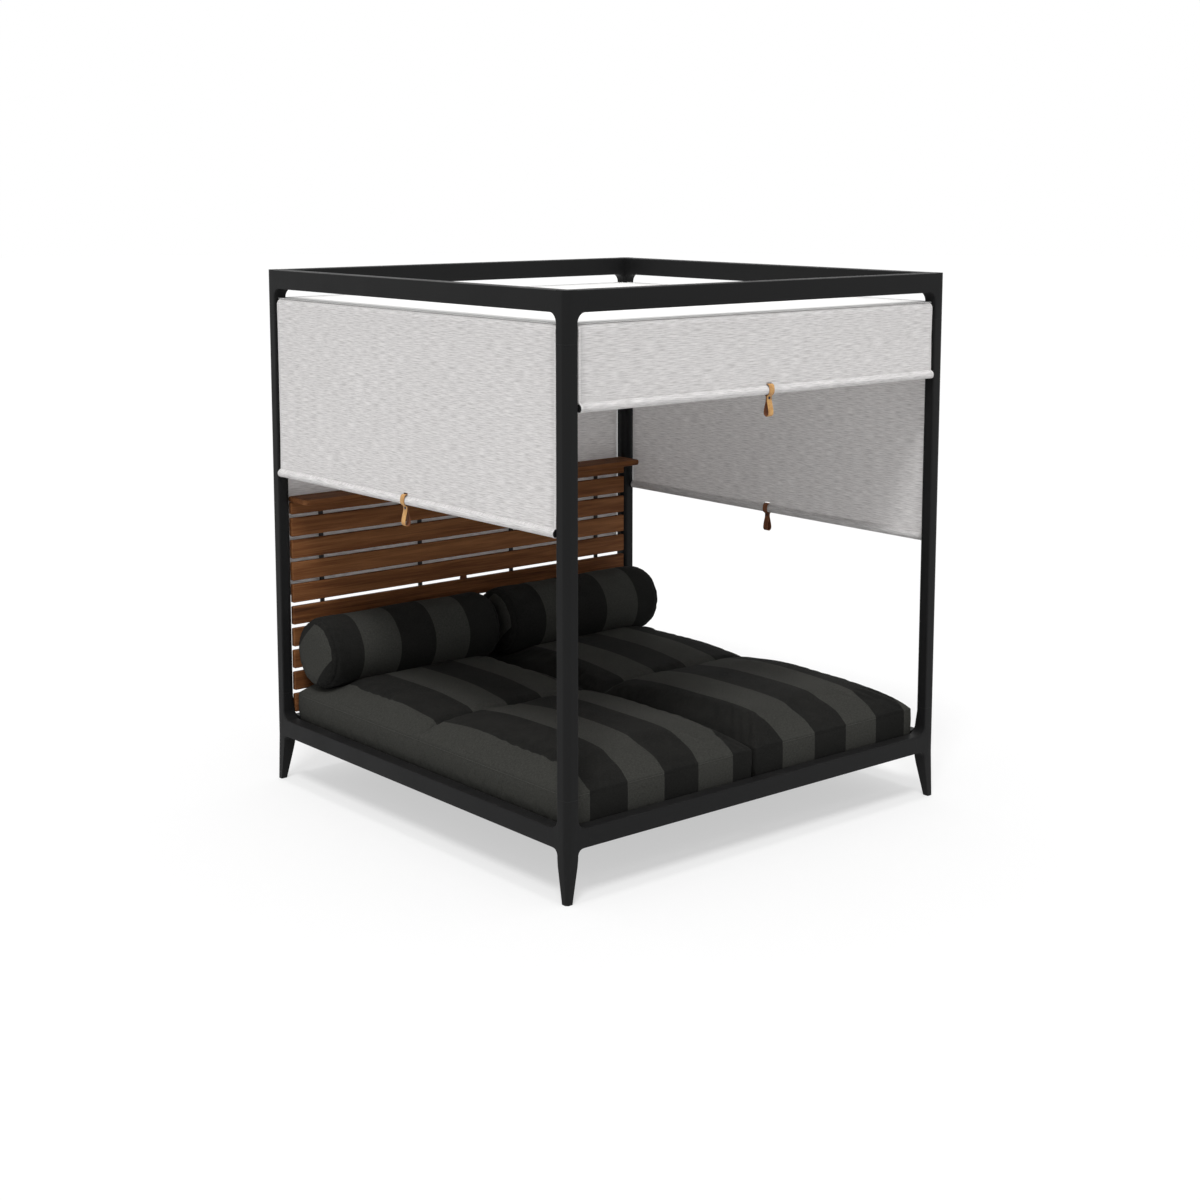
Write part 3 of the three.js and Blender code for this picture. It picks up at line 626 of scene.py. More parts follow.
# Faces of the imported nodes: smooth over rounds, crisp at corners
def roundShading(limit):
    group = bpy.data.node_groups.new("roundShading", "GeometryNodeTree")
    for way in ("INPUT", "OUTPUT"):
        group.interface.new_socket(name="Geometry", in_out=way, socket_type="NodeSocketGeometry")
    start = group.nodes.new("NodeGroupInput")
    end = group.nodes.new("NodeGroupOutput")
    weld = group.nodes.new("GeometryNodeMergeByDistance")
    weld.inputs["Distance"].default_value = 0.00002
    every = group.nodes.new("GeometryNodeSetShadeSmooth")
    sharp = group.nodes.new("GeometryNodeSetShadeSmooth")
    sharp.domain = "EDGE"
    sharp.inputs["Shade Smooth"].default_value = False
    angle = group.nodes.new("GeometryNodeInputMeshEdgeAngle")
    steep = group.nodes.new("FunctionNodeCompare")
    steep.operation = "GREATER_THAN"
    steep.inputs[1].default_value = math.radians(limit)
    group.links.new(start.outputs[0], weld.inputs[0])
    group.links.new(weld.outputs[0], every.inputs[0])
    group.links.new(every.outputs[0], sharp.inputs[0])
    group.links.new(angle.outputs["Unsigned Angle"], steep.inputs[0])
    group.links.new(steep.outputs[0], sharp.inputs["Selection"])
    group.links.new(sharp.outputs[0], end.inputs[0])
    return group


def dressNodes():
    smooth = roundShading(42)
    finishes = {
        "leg_corner": frameCoat, "post": frameCoat, "top_corner": frameCoat, "bottom_rail": frameCoat,
        "top_rail": frameCoat, "deck_panel": darkBar, "wall_bar": darkBar, "roof_tube": frameCoat,
        "wall_slat": oiledTeak, "wall_shelf": oiledTeak, "roller": rollWeave, "hem_bar": blackCap,
        "blind_cloth": blindWeave, "pull_strap": strapLeather, "roof_cloth": roofWeave,
        "mattress": darkBar, "bolster": darkBar,
    }
    for name, node in nodes.items():
        finish = next(value for start, value in finishes.items() if name.startswith(start))
        for holder in node.material_slots:
            holder.material = finish
        rounds = node.modifiers.new("rounds", "NODES")
        rounds.node_group = smooth
        weights = node.modifiers.new("weights", "WEIGHTED_NORMAL")
        weights.keep_sharp = True
        weights.weight = 90


dressNodes()
print("frame dressed")


# Mesh helpers
def closedPiece(name, points, faces, materials, fold=40, tags=None):
    mesh = bpy.data.meshes.new(name)
    mesh.from_pydata([tuple(map(float, p)) for p in points], [], faces)
    for material in materials:
        mesh.materials.append(material)
    if tags is not None:
        mesh.polygons.foreach_set("material_index", tags)
    work = bmesh.new()
    work.from_mesh(mesh)
    bmesh.ops.delete(work, geom=[v for v in work.verts if not v.link_faces], context="VERTS")
    bmesh.ops.recalc_face_normals(work, faces=work.faces)
    work.to_mesh(mesh)
    work.free()
    mesh.shade_smooth()
    mesh.set_sharp_from_angle(angle=math.radians(fold))
    piece = bpy.data.objects.new(name, mesh)
    scene.collection.objects.link(piece)
    return piece


def placesOf(mesh):
    flat = np.empty(len(mesh.vertices) * 3)
    mesh.vertices.foreach_get("co", flat)
    return flat.reshape(-1, 3)


def normalsOf(mesh):
    flat = np.empty(len(mesh.vertices) * 3)
    mesh.vertices.foreach_get("normal", flat)
    return flat.reshape(-1, 3)


# Faces of a thin sheet: two grids of points, one over the other, and walls at each open edge
def sheetFaces(present):
    columns, rows = present.shape
    high = rows + 1
    under = (columns + 1) * high
    faces = []

    def at(i, j):
        return 0 <= i < columns and 0 <= j < rows and present[i, j]

    for i in range(columns):
        for j in range(rows):
            if not present[i, j]:
                continue
            a, b, c, d = i * high + j, (i + 1) * high + j, (i + 1) * high + j + 1, i * high + j + 1
            faces.append((a, b, c, d))
            faces.append((under + d, under + c, under + b, under + a))
            for p, q, ni, nj in ((a, b, i, j - 1), (b, c, i + 1, j), (c, d, i, j + 1), (d, a, i - 1, j)):
                if not at(ni, nj):
                    faces.append((q, p, under + p, under + q))
    return faces


def turns(count):
    return [2 * math.pi * k / count for k in range(count)]


def ringFaces(rings, size, start=0, closed=False, capped=False):
    # four-sided faces between rings of points that follow one another from a first point on
    faces = []
    for i in range(rings if closed else rings - 1):
        here, after = start + i * size, start + (i + 1) % rings * size
        for k in range(size):
            beside = (k + 1) % size
            faces.append((here + k, here + beside, after + beside, after + k))
    if capped:
        last = start + (rings - 1) * size
        faces.append(tuple(range(start + size - 1, start - 1, -1)))
        faces.append(tuple(range(last, last + size)))
    return faces


def spread(start, end, step):
    count = max(1, round(abs(end - start) / step))
    return list(np.linspace(start, end, count + 1))


def onSide(side, x, u, z):
    # x along the side, u inwards from the frame's outer face, z up
    turn = math.radians(sideTurns[side])
    cos, sin = math.cos(turn), math.sin(turn)
    y = u - cadBox[1].y + frameProud
    return np.stack([x * cos - y * sin, x * sin + y * cos, z], axis=-1)


# A smooth wandering value for each point, the same at every run
def wander(points, size, seed):
    waves = 14
    chance = np.random.default_rng(seed)
    aim = chance.normal(size=(waves, 3))
    aim /= np.linalg.norm(aim, axis=1)[:, None]
    aim *= chance.uniform(0.6, 1.6, size=(waves, 1)) * 2 * math.pi / np.asarray(size, float)
    start = chance.uniform(0, 2 * math.pi, waves)
    return np.sin(np.asarray(points, float) @ aim.T + start).sum(axis=1) / math.sqrt(waves)


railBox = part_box("bottom_rail_front")
frameProud = cadBox[1].y + railBox[0].y  # how far the pulls reach out past the frame

# Blinds: one cloth on each side, off the roll, down, and round the hem bar to a stitched seam
blind = {
    "half": 0.967,
    "hang": 0.009,
    "thickness": 0.001,
    "sideHem": 0.0112,
    "hemExtra": 0.0008,
    "rim": 0.0004,
    "rimExtra": 0.3,  # shares that thin the cloth out at its cut edge
    "rimThickness": 0.6,
    "columnStep": 0.032,
    "rowStep": 0.028,
    "rollTuck": 68,  # degrees round the roll, from where the cloth starts to where it leaves
    "rollLeave": 6,
    "rollEase": 25,
    "rollSteps": 8,
    "rollStart": 0.0236,
    "pocket": 0.0158,
    "pocketSteps": 22,
    "seamRise": 0.0195,
    "seamLap": 0.0014,
    "lapDepths": (0.00125, 0.00115),
    "slot": (0.0227, 0.0312),
    "slotHalf": 0.0143,
    "slotFlank": 0.02,
    "ripple": 0.0005,
    "rippleSize": 0.55,
    "seed": 11,
    "cup": 0.0012,
    "cupPower": 6,
    "clearOfBar": 0.03,
    "fade": 0.12,
    "slideFrom": 0.024,  # under the roll's axis
    "slideTo": 0.036,  # over the hem bar's axis
    "stitch": {
        "pitch": 0.0052,
        "length": 0.0036,
        "radius": 0.00032,
        "sides": 6,
        "profile": [(-1, 0.25), (-0.55, 1), (0.55, 1), (1, 0.25)],
        "depths": (-0.00055, 0.0018),
        "rise": 0.0006,
        "endGap": 0.004,
    },
}


def blindPath(side):
    hang, pocket, tuck = blind["hang"], blind["pocket"], blind["rollTuck"]
    roll = [sum(pair) / 2 for pair in zip(*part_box("roller_" + side))]
    hem = [sum(pair) / 2 for pair in zip(*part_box("hem_bar_" + side))]
    outer = max(abs(railBox[0].x), abs(railBox[0].y))
    rollU = outer - max(abs(roll[0]), abs(roll[1]))
    reach = rollU - hang
    path = []
    for angle in np.linspace(tuck, blind["rollLeave"], blind["rollSteps"]):
        share = min(1.0, (tuck - angle) / blind["rollEase"])
        radius = blind["rollStart"] + (reach - blind["rollStart"]) * share
        a = math.radians(angle)
        path.append((rollU - radius * math.cos(a), roll[2] + radius * math.sin(a)))
    slotLow, slotHigh = (hem[2] + rise for rise in blind["slot"])
    seam = hem[2] + blind["seamRise"]
    path += [(hang, z) for z in spread(roll[2], slotHigh, blind["rowStep"]) + [slotLow, seam]]
    lean = math.acos(pocket / blind["seamRise"])
    for a in np.linspace(lean, 2 * math.pi - lean, blind["pocketSteps"]):
        path.append((hang - pocket * math.sin(a), hem[2] + pocket * math.cos(a)))
    for depth, z in zip(blind["lapDepths"], (seam, seam + blind["seamLap"])):
        path.append((hang + depth, z))
    return np.array(path), hem[2], roll[2]


def blindColumns():
    half, hem, slot = blind["half"], blind["sideHem"], blind["slotHalf"]
    flank = slot + blind["slotFlank"]
    outer = [slot, flank] + spread(flank, half - hem - 0.0006, blind["columnStep"])[1:]
    outer += [half - hem, half - hem / 2, half - 0.0008, half]
    return np.array([-x for x in reversed(outer)] + [0.0] + outer)


def makeBlind(side):
    path, hemZ, rollZ = blindPath(side)
    columns = blindColumns()
    run = np.gradient(path, axis=0)
    run /= np.linalg.norm(run, axis=1)[:, None]
    outward = np.stack([run[:, 1], -run[:, 0]], axis=1)
    x = np.repeat(columns[:, None], len(path), axis=1)
    z = np.repeat(path[None, :, 1], len(columns), axis=0)
    u = np.repeat(path[None, :, 0], len(columns), axis=0)
    # the hanging part is a little uneven and its side edges curl inwards
    low, fade = hemZ + blind["clearOfBar"], blind["fade"]
    fall = np.clip((rollZ - z) / fade, 0, 1) * np.clip((z - low) / fade, 0, 1)
    spots = np.stack([x, u, z], axis=-1).reshape(-1, 3)
    seed = blind["seed"] + sideTurns[side]
    uneven = wander(spots * (1, 0, 1), blind["rippleSize"], seed).reshape(x.shape)
    curl = blind["cup"] * np.abs(x / blind["half"]) ** blind["cupPower"]
    u = u + fall * (blind["ripple"] * uneven + curl + blind["ripple"])
    sideHem = np.abs(x) > blind["half"] - blind["sideHem"] - 0.0002
    rim = np.abs(x) > blind["half"] - blind["rim"]
    extra = blind["hemExtra"] * sideHem * np.where(rim, blind["rimExtra"], 1.0)
    half = blind["thickness"] / 2 * np.where(rim, blind["rimThickness"], 1.0)
    skins = []
    for move in (half + extra, -half):
        skins.append(onSide(side, x, u + outward[None, :, 0] * move, z + outward[None, :, 1] * move))
    points = np.concatenate([grid.reshape(-1, 3) for grid in skins])
    # the strap's slot is left open
    present = np.ones((len(columns) - 1, len(path) - 1), bool)
    low, high = (hemZ + rise for rise in blind["slot"])
    middle = (np.abs(columns[:-1] + columns[1:]) / 2) < blind["slotHalf"]
    rows = (path[:-1, 1] + path[1:, 1]) / 2
    drop = (np.abs(path[:-1, 0] - blind["hang"]) < 1e-6) & (rows > low) & (rows < high)
    present[np.ix_(middle, drop)] = False
    cloth = closedPiece("blind_sheet_" + side, points, sheetFaces(present), [blindWeave], fold=55)
    length = float(np.linalg.norm(np.diff(path, axis=0), axis=1).sum())
    return cloth, length, hemZ, rollZ


# Thread along a seam: one plump stitch after another, in line with the hem bar
def makeStitches(side, hemZ):
    size = blind["stitch"]
    count = int(2 * (blind["half"] - size["endGap"]) / size["pitch"])
    seam = hemZ + blind["seamRise"] + size["rise"]
    points, faces = [], []
    for depth in size["depths"]:
        for i in range(count):
            middle = (i - (count - 1) / 2) * size["pitch"]
            faces += ringFaces(len(size["profile"]), size["sides"], len(points), capped=True)
            for share, girth in size["profile"]:
                x, radius = middle + share * size["length"] / 2, size["radius"] * girth
                for a in turns(size["sides"]):
                    u = blind["hang"] + depth + radius * math.cos(a)
                    points.append((x, u, seam + radius * math.sin(a)))
    place = np.array(points)
    return closedPiece("hem_stitches_" + side, onSide(side, *place.T), faces, [blindWeave], fold=70)


# Pull straps: one leather band through the slot, round the hem bar, riveted and looped below
strap = {
    "width": 0.028,
    "thickness": 0.0028,
    "line": [
        (0.0, 0.0245), (0.0095, 0.0236), (0.0148, 0.0172), (0.0172, 0.0070), (0.0172, -0.0040),
        (0.0146, -0.0120), (0.0090, -0.0180), (0.0038, -0.0212), (0.0018, -0.0245), (0.0017, -0.0300),
        (0.0020, -0.0370), (0.0040, -0.0470), (0.0074, -0.0590), (0.0106, -0.0720), (0.0126, -0.0850),
        (0.0108, -0.0965), (0.0, -0.1030),
    ],
    "groove": 0.0026,
    "grooveHalf": 0.0005,
    "grooveDepth": 0.0003,
    "steps": 5,
    "rivet": {
        "height": -0.0302,
        "nearLine": 0.01,
        "radius": 0.0056,
        "rise": 0.0026,
        "rim": 0.0008,
        "sink": 0.0004,
        "dome": (25, 45, 65, 80),
        "sides": 24,
    },
}


def smoothLoop(points, steps):
    # Catmull-Rom through a closed run of points
    made = []
    count = len(points)
    for i in range(count):
        p0, p1, p2, p3 = (np.array(points[(i + k) % count]) for k in (-1, 0, 1, 2))
        square = 2 * p0 - 5 * p1 + 4 * p2 - p3
        cube = 3 * p1 - p0 - 3 * p2 + p3
        for t in np.linspace(0, 1, steps, endpoint=False):
            made.append(0.5 * (2 * p1 + (p2 - p0) * t + square * t**2 + cube * t**3))
    return np.array(made)


def strapSection():
    # across the band and out of it; the outer side has a pressed line near each edge
    half, t = strap["width"] / 2, strap["thickness"] / 2
    groove, wide, deep = strap["groove"], strap["grooveHalf"], strap["grooveDepth"]
    outer = [
        (half, 0.3 * t), (half - 0.35 * t, 0.8 * t), (half - 0.9 * t, t), (half - groove + wide, t),
        (half - groove, t - deep), (half - groove - wide, t), (half * 0.4, t),
    ]
    inner = [(half * 0.4, -t), (half - 0.9 * t, -t), (half - 0.35 * t, -0.8 * t), (half, -0.3 * t)]
    top = outer + [(-x, n) for x, n in reversed(outer)]
    bottom = [(-x, n) for x, n in reversed(inner)] + inner
    return top, bottom


def makeStrap(side, hemZ):
    right = [(-u, z) for u, z in strap["line"]]
    left = [(u, z) for u, z in strap["line"][1:-1]]
    line = smoothLoop(right + left[::-1], strap["steps"])
    run = np.roll(line, -1, axis=0) - np.roll(line, 1, axis=0)
    run /= np.linalg.norm(run, axis=1)[:, None]
    out = np.stack([run[:, 1], -run[:, 0]], axis=1)
    top, bottom = strapSection()
    section = np.array(top + bottom)
    size = len(section)
    x = np.repeat(section[None, :, 0], len(line), axis=0)
    u = blind["hang"] + line[:, None, 0] + out[:, None, 0] * section[None, :, 1]
    z = hemZ + line[:, None, 1] + out[:, None, 1] * section[None, :, 1]
    points = onSide(side, x, u, z).reshape(-1, 3)
    faces = ringFaces(len(line), size, closed=True)
    # smooth leather shows on the front run's outer face, the dark flesh side everywhere else: the real flesh
    # side on the inner faces, painted shade on the back run's outer face
    tags = []
    for i in range(len(line)):
        tags += [0 if k < len(top) - 1 and i <= len(line) / 2 else 1 for k in range(size)]
    leathers = [strapLeather, strapFleshAndShade]
    band = closedPiece("leather_pull_" + side, points, faces, leathers, fold=60, tags=tags)
    return band, makeRivet(side, hemZ, line, out)


def makeRivet(side, hemZ, line, out):
    # a domed head on each face, where the two runs of the band meet under the bar
    size = strap["rivet"]
    profile = [(size["radius"], -size["sink"]), (size["radius"], size["rim"])]
    for angle in size["dome"]:
        a = math.radians(angle)
        rise = size["rim"] + (size["rise"] - size["rim"]) * math.sin(a)
        profile.append((size["radius"] * math.cos(a), rise))
    half = len(line) // 2
    points, faces = [], []
    for part in (slice(half), slice(half, None)):
        run, outs = line[part], out[part]
        away = np.abs(run[:, 1] - size["height"]) + 10 * (np.abs(run[:, 0]) > size["nearLine"])
        k = int(np.argmin(away))
        base, aim = run[k] + outs[k] * strap["thickness"] / 2, outs[k]
        beside = np.array([-aim[1], aim[0]])
        faces += ringFaces(len(profile), size["sides"], len(points), capped=True)
        for radius, rise in profile:
            for a in turns(size["sides"]):
                spotAt = base + aim * rise + beside * (radius * math.sin(a))
                points.append((radius * math.cos(a), blind["hang"] + spotAt[0], hemZ + spotAt[1]))
    place = np.array(points)
    return closedPiece("pull_rivet_" + side, onSide(side, *place.T), faces, [rivetMetal], fold=50)


def shareEvenly(cloth, top, bottom):
    # works out each point's share of the slide, growing evenly down the cloth; the share is not kept
    share = np.clip((top - placesOf(cloth.data)[:, 2]) / (top - bottom), 0, 1)


def addBlinds():
    for side in sideTurns:
        cloth, length, hemZ, rollZ = makeBlind(side)
        hemBody = side + "_hem"
        top, bottom = rollZ - blind["slideFrom"], hemZ + blind["slideTo"]
        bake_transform(cloth)
        shareEvenly(cloth, top, bottom)
        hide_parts("blind_cloth_" + side)
        stitches = makeStitches(side, hemZ)
        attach(stitches, hemBody)
        band, rivet = makeStrap(side, hemZ)
        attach(band, hemBody)
        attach(rivet, hemBody)
        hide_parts("pull_strap_" + side)


addBlinds()
print("blinds hung")

# Roof cloth, stretched over the two side tubes and turned under at its edges
roof = {
    "thickness": 0.0012,
    "hem": 0.026,
    "hemExtra": 0.0008,
    "hemFold": 0.0006,
    "rim": 0.0015,
    "rimExtra": 0.3,
    "rimThickness": 0.6,
    "step": 0.045,
    "lift": 0.0003,
    "free": 0.94,
    "sag": 0.006,
    "sagPower": 0.7,
    "ripple": 0.0009,
    "rippleSize": 0.5,
    "seed": 5,
}


def addRoof():
    low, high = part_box("roof_cloth")
    reachX, reachY = high.x, high.y
    hem = roof["hem"]
    notch = min(abs(p.co.x) for p in nodes["roof_cloth"].data.vertices)
    inner = spread(-notch, notch, roof["step"])
    lines = []
    for reach in (reachX, reachY):
        outer = [-reach, -reach + roof["rim"], -reach + hem, -reach + hem + roof["hemFold"]]
        lines.append(np.array(outer + inner + [-value for value in reversed(outer)]))
    xs, ys = lines
    x, y = np.meshgrid(xs, ys, indexing="ij")
    middle = [np.clip(1 - (value / roof["free"]) ** 2, 0, 1) for value in (x, y)]
    spots = np.stack([x, y, 0 * x], axis=-1).reshape(-1, 3)
    ripple = roof["ripple"] * wander(spots, (roof["rippleSize"],), roof["seed"]).reshape(x.shape)
    sag = roof["sag"] * middle[0] * middle[1] ** roof["sagPower"]
    z = (low.z + high.z) / 2 + roof["lift"] - sag + ripple * np.minimum(*middle) ** 0.5
    fromEdge = np.minimum(reachX - np.abs(x), reachY - np.abs(y))
    hemmed = fromEdge <= hem + 1e-6
    rim = fromEdge <= 1e-6
    half = roof["thickness"] / 2 * np.where(rim, roof["rimThickness"], 1)
    extra = roof["hemExtra"] * hemmed * np.where(rim, roof["rimExtra"], 1)
    skins = [np.stack([x, y, z + move], axis=-1).reshape(-1, 3) for move in (half + extra, -half)]
    points = np.concatenate(skins)
    cx, cy = np.meshgrid((xs[:-1] + xs[1:]) / 2, (ys[:-1] + ys[1:]) / 2, indexing="ij")
    present = ~((np.abs(cx) > notch) & (np.abs(cy) > notch))
    cloth = closedPiece("roof_sheet", points, sheetFaces(present), [roofWeave], fold=55)
    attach(cloth, "frame")
    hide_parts("roof_cloth")


addRoof()
print("roof cloth stretched")


# Screws through the wall's upright bars into the slats, seen from behind
screw = {
    "profile": [
        (0.0016, 0.0008), (0.0018, 0.0019), (0.0040, 0.0021), (0.0052, 0.0015), (0.0057, 0.0),
        (0.0057, -0.0004),
    ],
    "sides": 18,
}


def addScrews():
    slats = [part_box(name) for name in sorted(nodes) if name.startswith("wall_slat")]
    for bar in sorted(name for name in nodes if name.startswith("wall_bar")):
        low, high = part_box(bar)
        x = (low.x + high.x) / 2
        points, faces = [], []
        for slatLow, slatHigh in slats:
            z = (slatLow.z + slatHigh.z) / 2
            faces += ringFaces(len(screw["profile"]), screw["sides"], len(points), capped=True)
            for radius, rise in screw["profile"]:
                for a in turns(screw["sides"]):
                    points.append((x + radius * math.cos(a), high.y + rise, z + radius * math.sin(a)))
        heads = closedPiece("screws_" + bar, points, faces, [screwMetal], fold=35)
        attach(heads, "frame")


addScrews()
print("screws set")

# Cushions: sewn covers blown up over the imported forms
mattress = {
    "corner": 0.007,
    "cornerSteps": 9,
    "stations": 90,
    "seam": 0.132,
    "bottomRound": 0.022,
    "sideDraw": 0.007,
    "sidePoints": [(0.0, 0.62), (0.0004, 0.85)],  # inwards, and the share of the way up to the seam
    "seamDraw": 0.002,
    "topSteps": 26,
    "crown": 0.106,
    "sidePower": 4.5,
    "endPower": 7,
    "endEase": 0.47,
    "innerPower": 8,
    "backShare": 0.92,
    "channel": 0.020,
    "grooveDepth": 0.014,
    "grooveWidth": 0.025,
    "dip": 0.028,
    "dipWidth": 0.190,
    "channelPower": 8,
    "bedGap": 0.003,
    "gap": 0.002,  # from the middle of the part to each mattress
    "voxel": 0.0105,
    "inset": 0.002,
    "cap": 0.010,
    "held": {"seam": 0.008, "edge": 0.03, "above": 0.01, "channel": 0.009, "under": 0.012},
    "edges": [-0.870, -0.683, -0.497, -0.313, -0.128, 0.160, 0.352, 0.535, 0.722, 0.906],
    # lighter piping: a painted highlight along the seam
    "pipingHighlight": 1.65,
}
sewing = {
    "topFrom": 0.01,
    "topFade": 0.03,
    "stray": 0.004,
    "tuck": 0.009,
    "tuckWidth": 0.011,
    "ridge": 0.0030,
    "ridgeWidth": 0.045,
    "swell": 0.0022,
    "roll": 0.0038,
    "rollRise": 0.012,
    "rollHeight": 0.013,
    "draw": 0.0013,
    "drawWidth": 0.007,
    "puff": 0.0024,
    "puffHeight": 0.035,
    "puffUnder": 0.35,
    "crease": 0.0040,
    "creaseWidth": 0.010,
    "creaseHeight": 0.07,
}
bolster = {
    "capRadius": 0.142,
    "capSteps": 14,
    "dome": 0.014,
    "shoulder": 0.050,
    "bodySteps": 16,
    "sides": 72,
    "bedGap": 0.001,
    "voxel": 0.009,
    "inset": 0.002,
    "cap": 0.006,
    "held": {"seam": 0.006, "from": 0.93},
    "edges": {"left": [-0.808, -0.617, -0.427, -0.236], "right": [0.211, 0.401, 0.592, 0.783]},
    "band": 0.097,
}
gathers = {
    "rimFrom": 0.09,
    "rimFade": 0.05,
    "fold": 0.0013,
    "foldWidth": 0.035,
    "draw": 0.0007,
    "drawWidth": 0.006,
    "swell": 0.0014,
}
piping = {"radius": 0.0010, "sides": 8, "search": 0.06, "endShare": 0.8, "endSteps": 96}
airPress = {"pressure": 4.0, "frames": 20, "mass": 0.3, "stiffness": 18.0, "bending": 0.6, "shrink": -0.012}


def bolsterBox(side):
    low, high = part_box("bolster_" + side)
    return low, high, (high.z - low.z) / 2


def underside(y, gap):
    # height of the bolster's underside over a place on the mattress
    low, high, radius = bolsterBox("left")
    away = np.abs(y - (low.y + high.y) / 2)
    inside = np.sqrt(np.maximum(radius**2 - away**2, 0))
    return np.where(away < radius, (low.z + high.z) / 2 - inside - gap, np.inf)


def channelFall(y):
    away = np.abs(y - mattress["channel"])
    groove = mattress["grooveDepth"] * np.exp(-away / mattress["grooveWidth"])
    return groove + mattress["dip"] * np.exp(-((away / mattress["dipWidth"]) ** 2))


def mattressForm():
    low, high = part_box("mattress_left")
    corner, bottomRound, draw = mattress["corner"], mattress["bottomRound"], mattress["sideDraw"]
    halfWidth, halfLength = (high.x - low.x) / 2 - mattress["inset"], high.y - mattress["inset"]
    straight = halfLength - corner
    seamZ = low.z + mattress["seam"]
    ends = halfLength - corner * (1 - np.cos(np.linspace(0, math.pi / 2, mattress["cornerSteps"])))
    body = np.linspace(-straight, straight, mattress["stations"])
    stations = sorted(set(np.round(np.concatenate([ends, -ends, body]), 6)))
    shares = np.sin(np.linspace(math.pi / 2, 0, mattress["topSteps"]))
    rings = []
    for y in stations:
        into = max(0.0, abs(y) - straight) / corner
        shrink = 1 - math.sqrt(max(0.0, 1 - min(1.0, into) ** 2))
        half = halfWidth - corner * shrink
        bottom = low.z + bottomRound * shrink
        seamX = half - mattress["seamDraw"]
        power = mattress["sidePower"] + mattress["innerPower"] * max(0.0, y / halfLength) ** 2
        side = np.sqrt(1 - shares**power)
        end = max(0.0, 1 - abs(y / halfLength) ** mattress["endPower"]) ** mattress["endEase"]
        crown = mattress["crown"] * side * end * (mattress["backShare"] if y > 0 else 1)
        fall = channelFall(y) * np.sqrt(1 - shares ** mattress["channelPower"])
        top = seamZ + np.maximum(0, crown - crown / mattress["crown"] * fall)
        bed = underside(y, bolster["bedGap"] + mattress["bedGap"])
        top = np.maximum(seamZ, np.minimum(top, bed))
        right = [(half - bottomRound, bottom)]
        for angle in (30, 60, 90):
            a = math.radians(angle)
            x = half - draw + draw * 0.5 * (1 - math.cos(a)) - bottomRound * 0.25 * (1 - math.sin(a))
            right.append((x, bottom + (seamZ - bottom) * 0.35 * (1 - math.cos(a)) + 0.002))
        for inwards, share in mattress["sidePoints"]:
            right.append((half - inwards, bottom + (seamZ - bottom) * share))
        right.append((seamX, seamZ))
        right += [(seamX * share, z) for share, z in zip(shares[1:], top[1:])]
        left = [(-px, pz) for px, pz in reversed(right[:-1])]
        rings.append([(px, y, pz) for px, pz in right + left])
    return rings


def loftPiece(name, rings, materials):
    points = [place for ring in rings for place in ring]
    return closedPiece(name, points, ringFaces(len(rings), len(rings[0]), capped=True), materials)


def settle(piece):
    # the mesh as its modifiers leave it, with none of them kept
    made = bpy.data.meshes.new_from_object(piece.evaluated_get(bpy.context.evaluated_depsgraph_get()))
    piece.modifiers.clear()
    old = piece.data
    piece.data = made
    bpy.data.meshes.remove(old)
    return made


def remeshed(piece, voxel):
    cells = piece.modifiers.new("cells", "REMESH")
    cells.mode = "VOXEL"
    cells.voxel_size = voxel
    return settle(piece)


def inflate(piece, held, cap):
    # air pressure fills the cover between its held seams; each point moves at most cap
    rest = placesOf(piece.data)
    group = piece.vertex_groups.new(name="held")
    for weight in np.unique(np.round(held[held > 0], 2)):
        group.add([int(i) for i in np.nonzero(np.round(held, 2) == weight)[0]], float(weight), "REPLACE")
    cloth = piece.modifiers.new("air", "CLOTH")
    settings = cloth.settings
    settings.quality = 4
    settings.mass = airPress["mass"]
    settings.tension_stiffness = settings.compression_stiffness = airPress["stiffness"]
    settings.bending_stiffness = airPress["bending"]
    settings.use_pressure = True
    settings.uniform_pressure_force = airPress["pressure"]
    settings.shrink_min = airPress["shrink"]
    settings.effector_weights.gravity = 0
    settings.vertex_group_mass = group.name
    cloth.collision_settings.use_collision = False
    cloth.point_cache.frame_start, cloth.point_cache.frame_end = 1, airPress["frames"]
    for step in range(1, airPress["frames"] + 1):
        scene.frame_set(step)
    made = piece.evaluated_get(bpy.context.evaluated_depsgraph_get()).to_mesh()
    blown = placesOf(made)
    piece.modifiers.clear()
    piece.vertex_groups.clear()
    scene.frame_set(1)
    move = blown - rest
    far = np.linalg.norm(move, axis=1)
    return rest + move * np.minimum(1, cap / np.maximum(far, 1e-9))[:, None]


def givePlaces(mesh, places):
    mesh.vertices.foreach_set("co", places.astype(np.float32).ravel())
    mesh.update()


def subdivided(piece):
    more = piece.modifiers.new("more", "SUBSURF")
    more.levels = more.render_levels = 1
    return settle(piece)


# Tube round a closed run of points, for the piping sewn into a seam
def tubeAround(name, line, material, radius):
    line = np.asarray(line)
    run = np.roll(line, -1, axis=0) - np.roll(line, 1, axis=0)
    run /= np.linalg.norm(run, axis=1)[:, None]
    middle = line.mean(axis=0)
    points = []
    for place, way in zip(line, run):
        out = place - middle
        out -= way * (out @ way)
        out /= np.linalg.norm(out)
        up = np.cross(way, out)
        points += [place + radius * (out * math.cos(a) + up * math.sin(a)) for a in turns(piping["sides"])]
    faces = ringFaces(len(line), piping["sides"], closed=True)
    return closedPiece(name, points, faces, [material], fold=80)


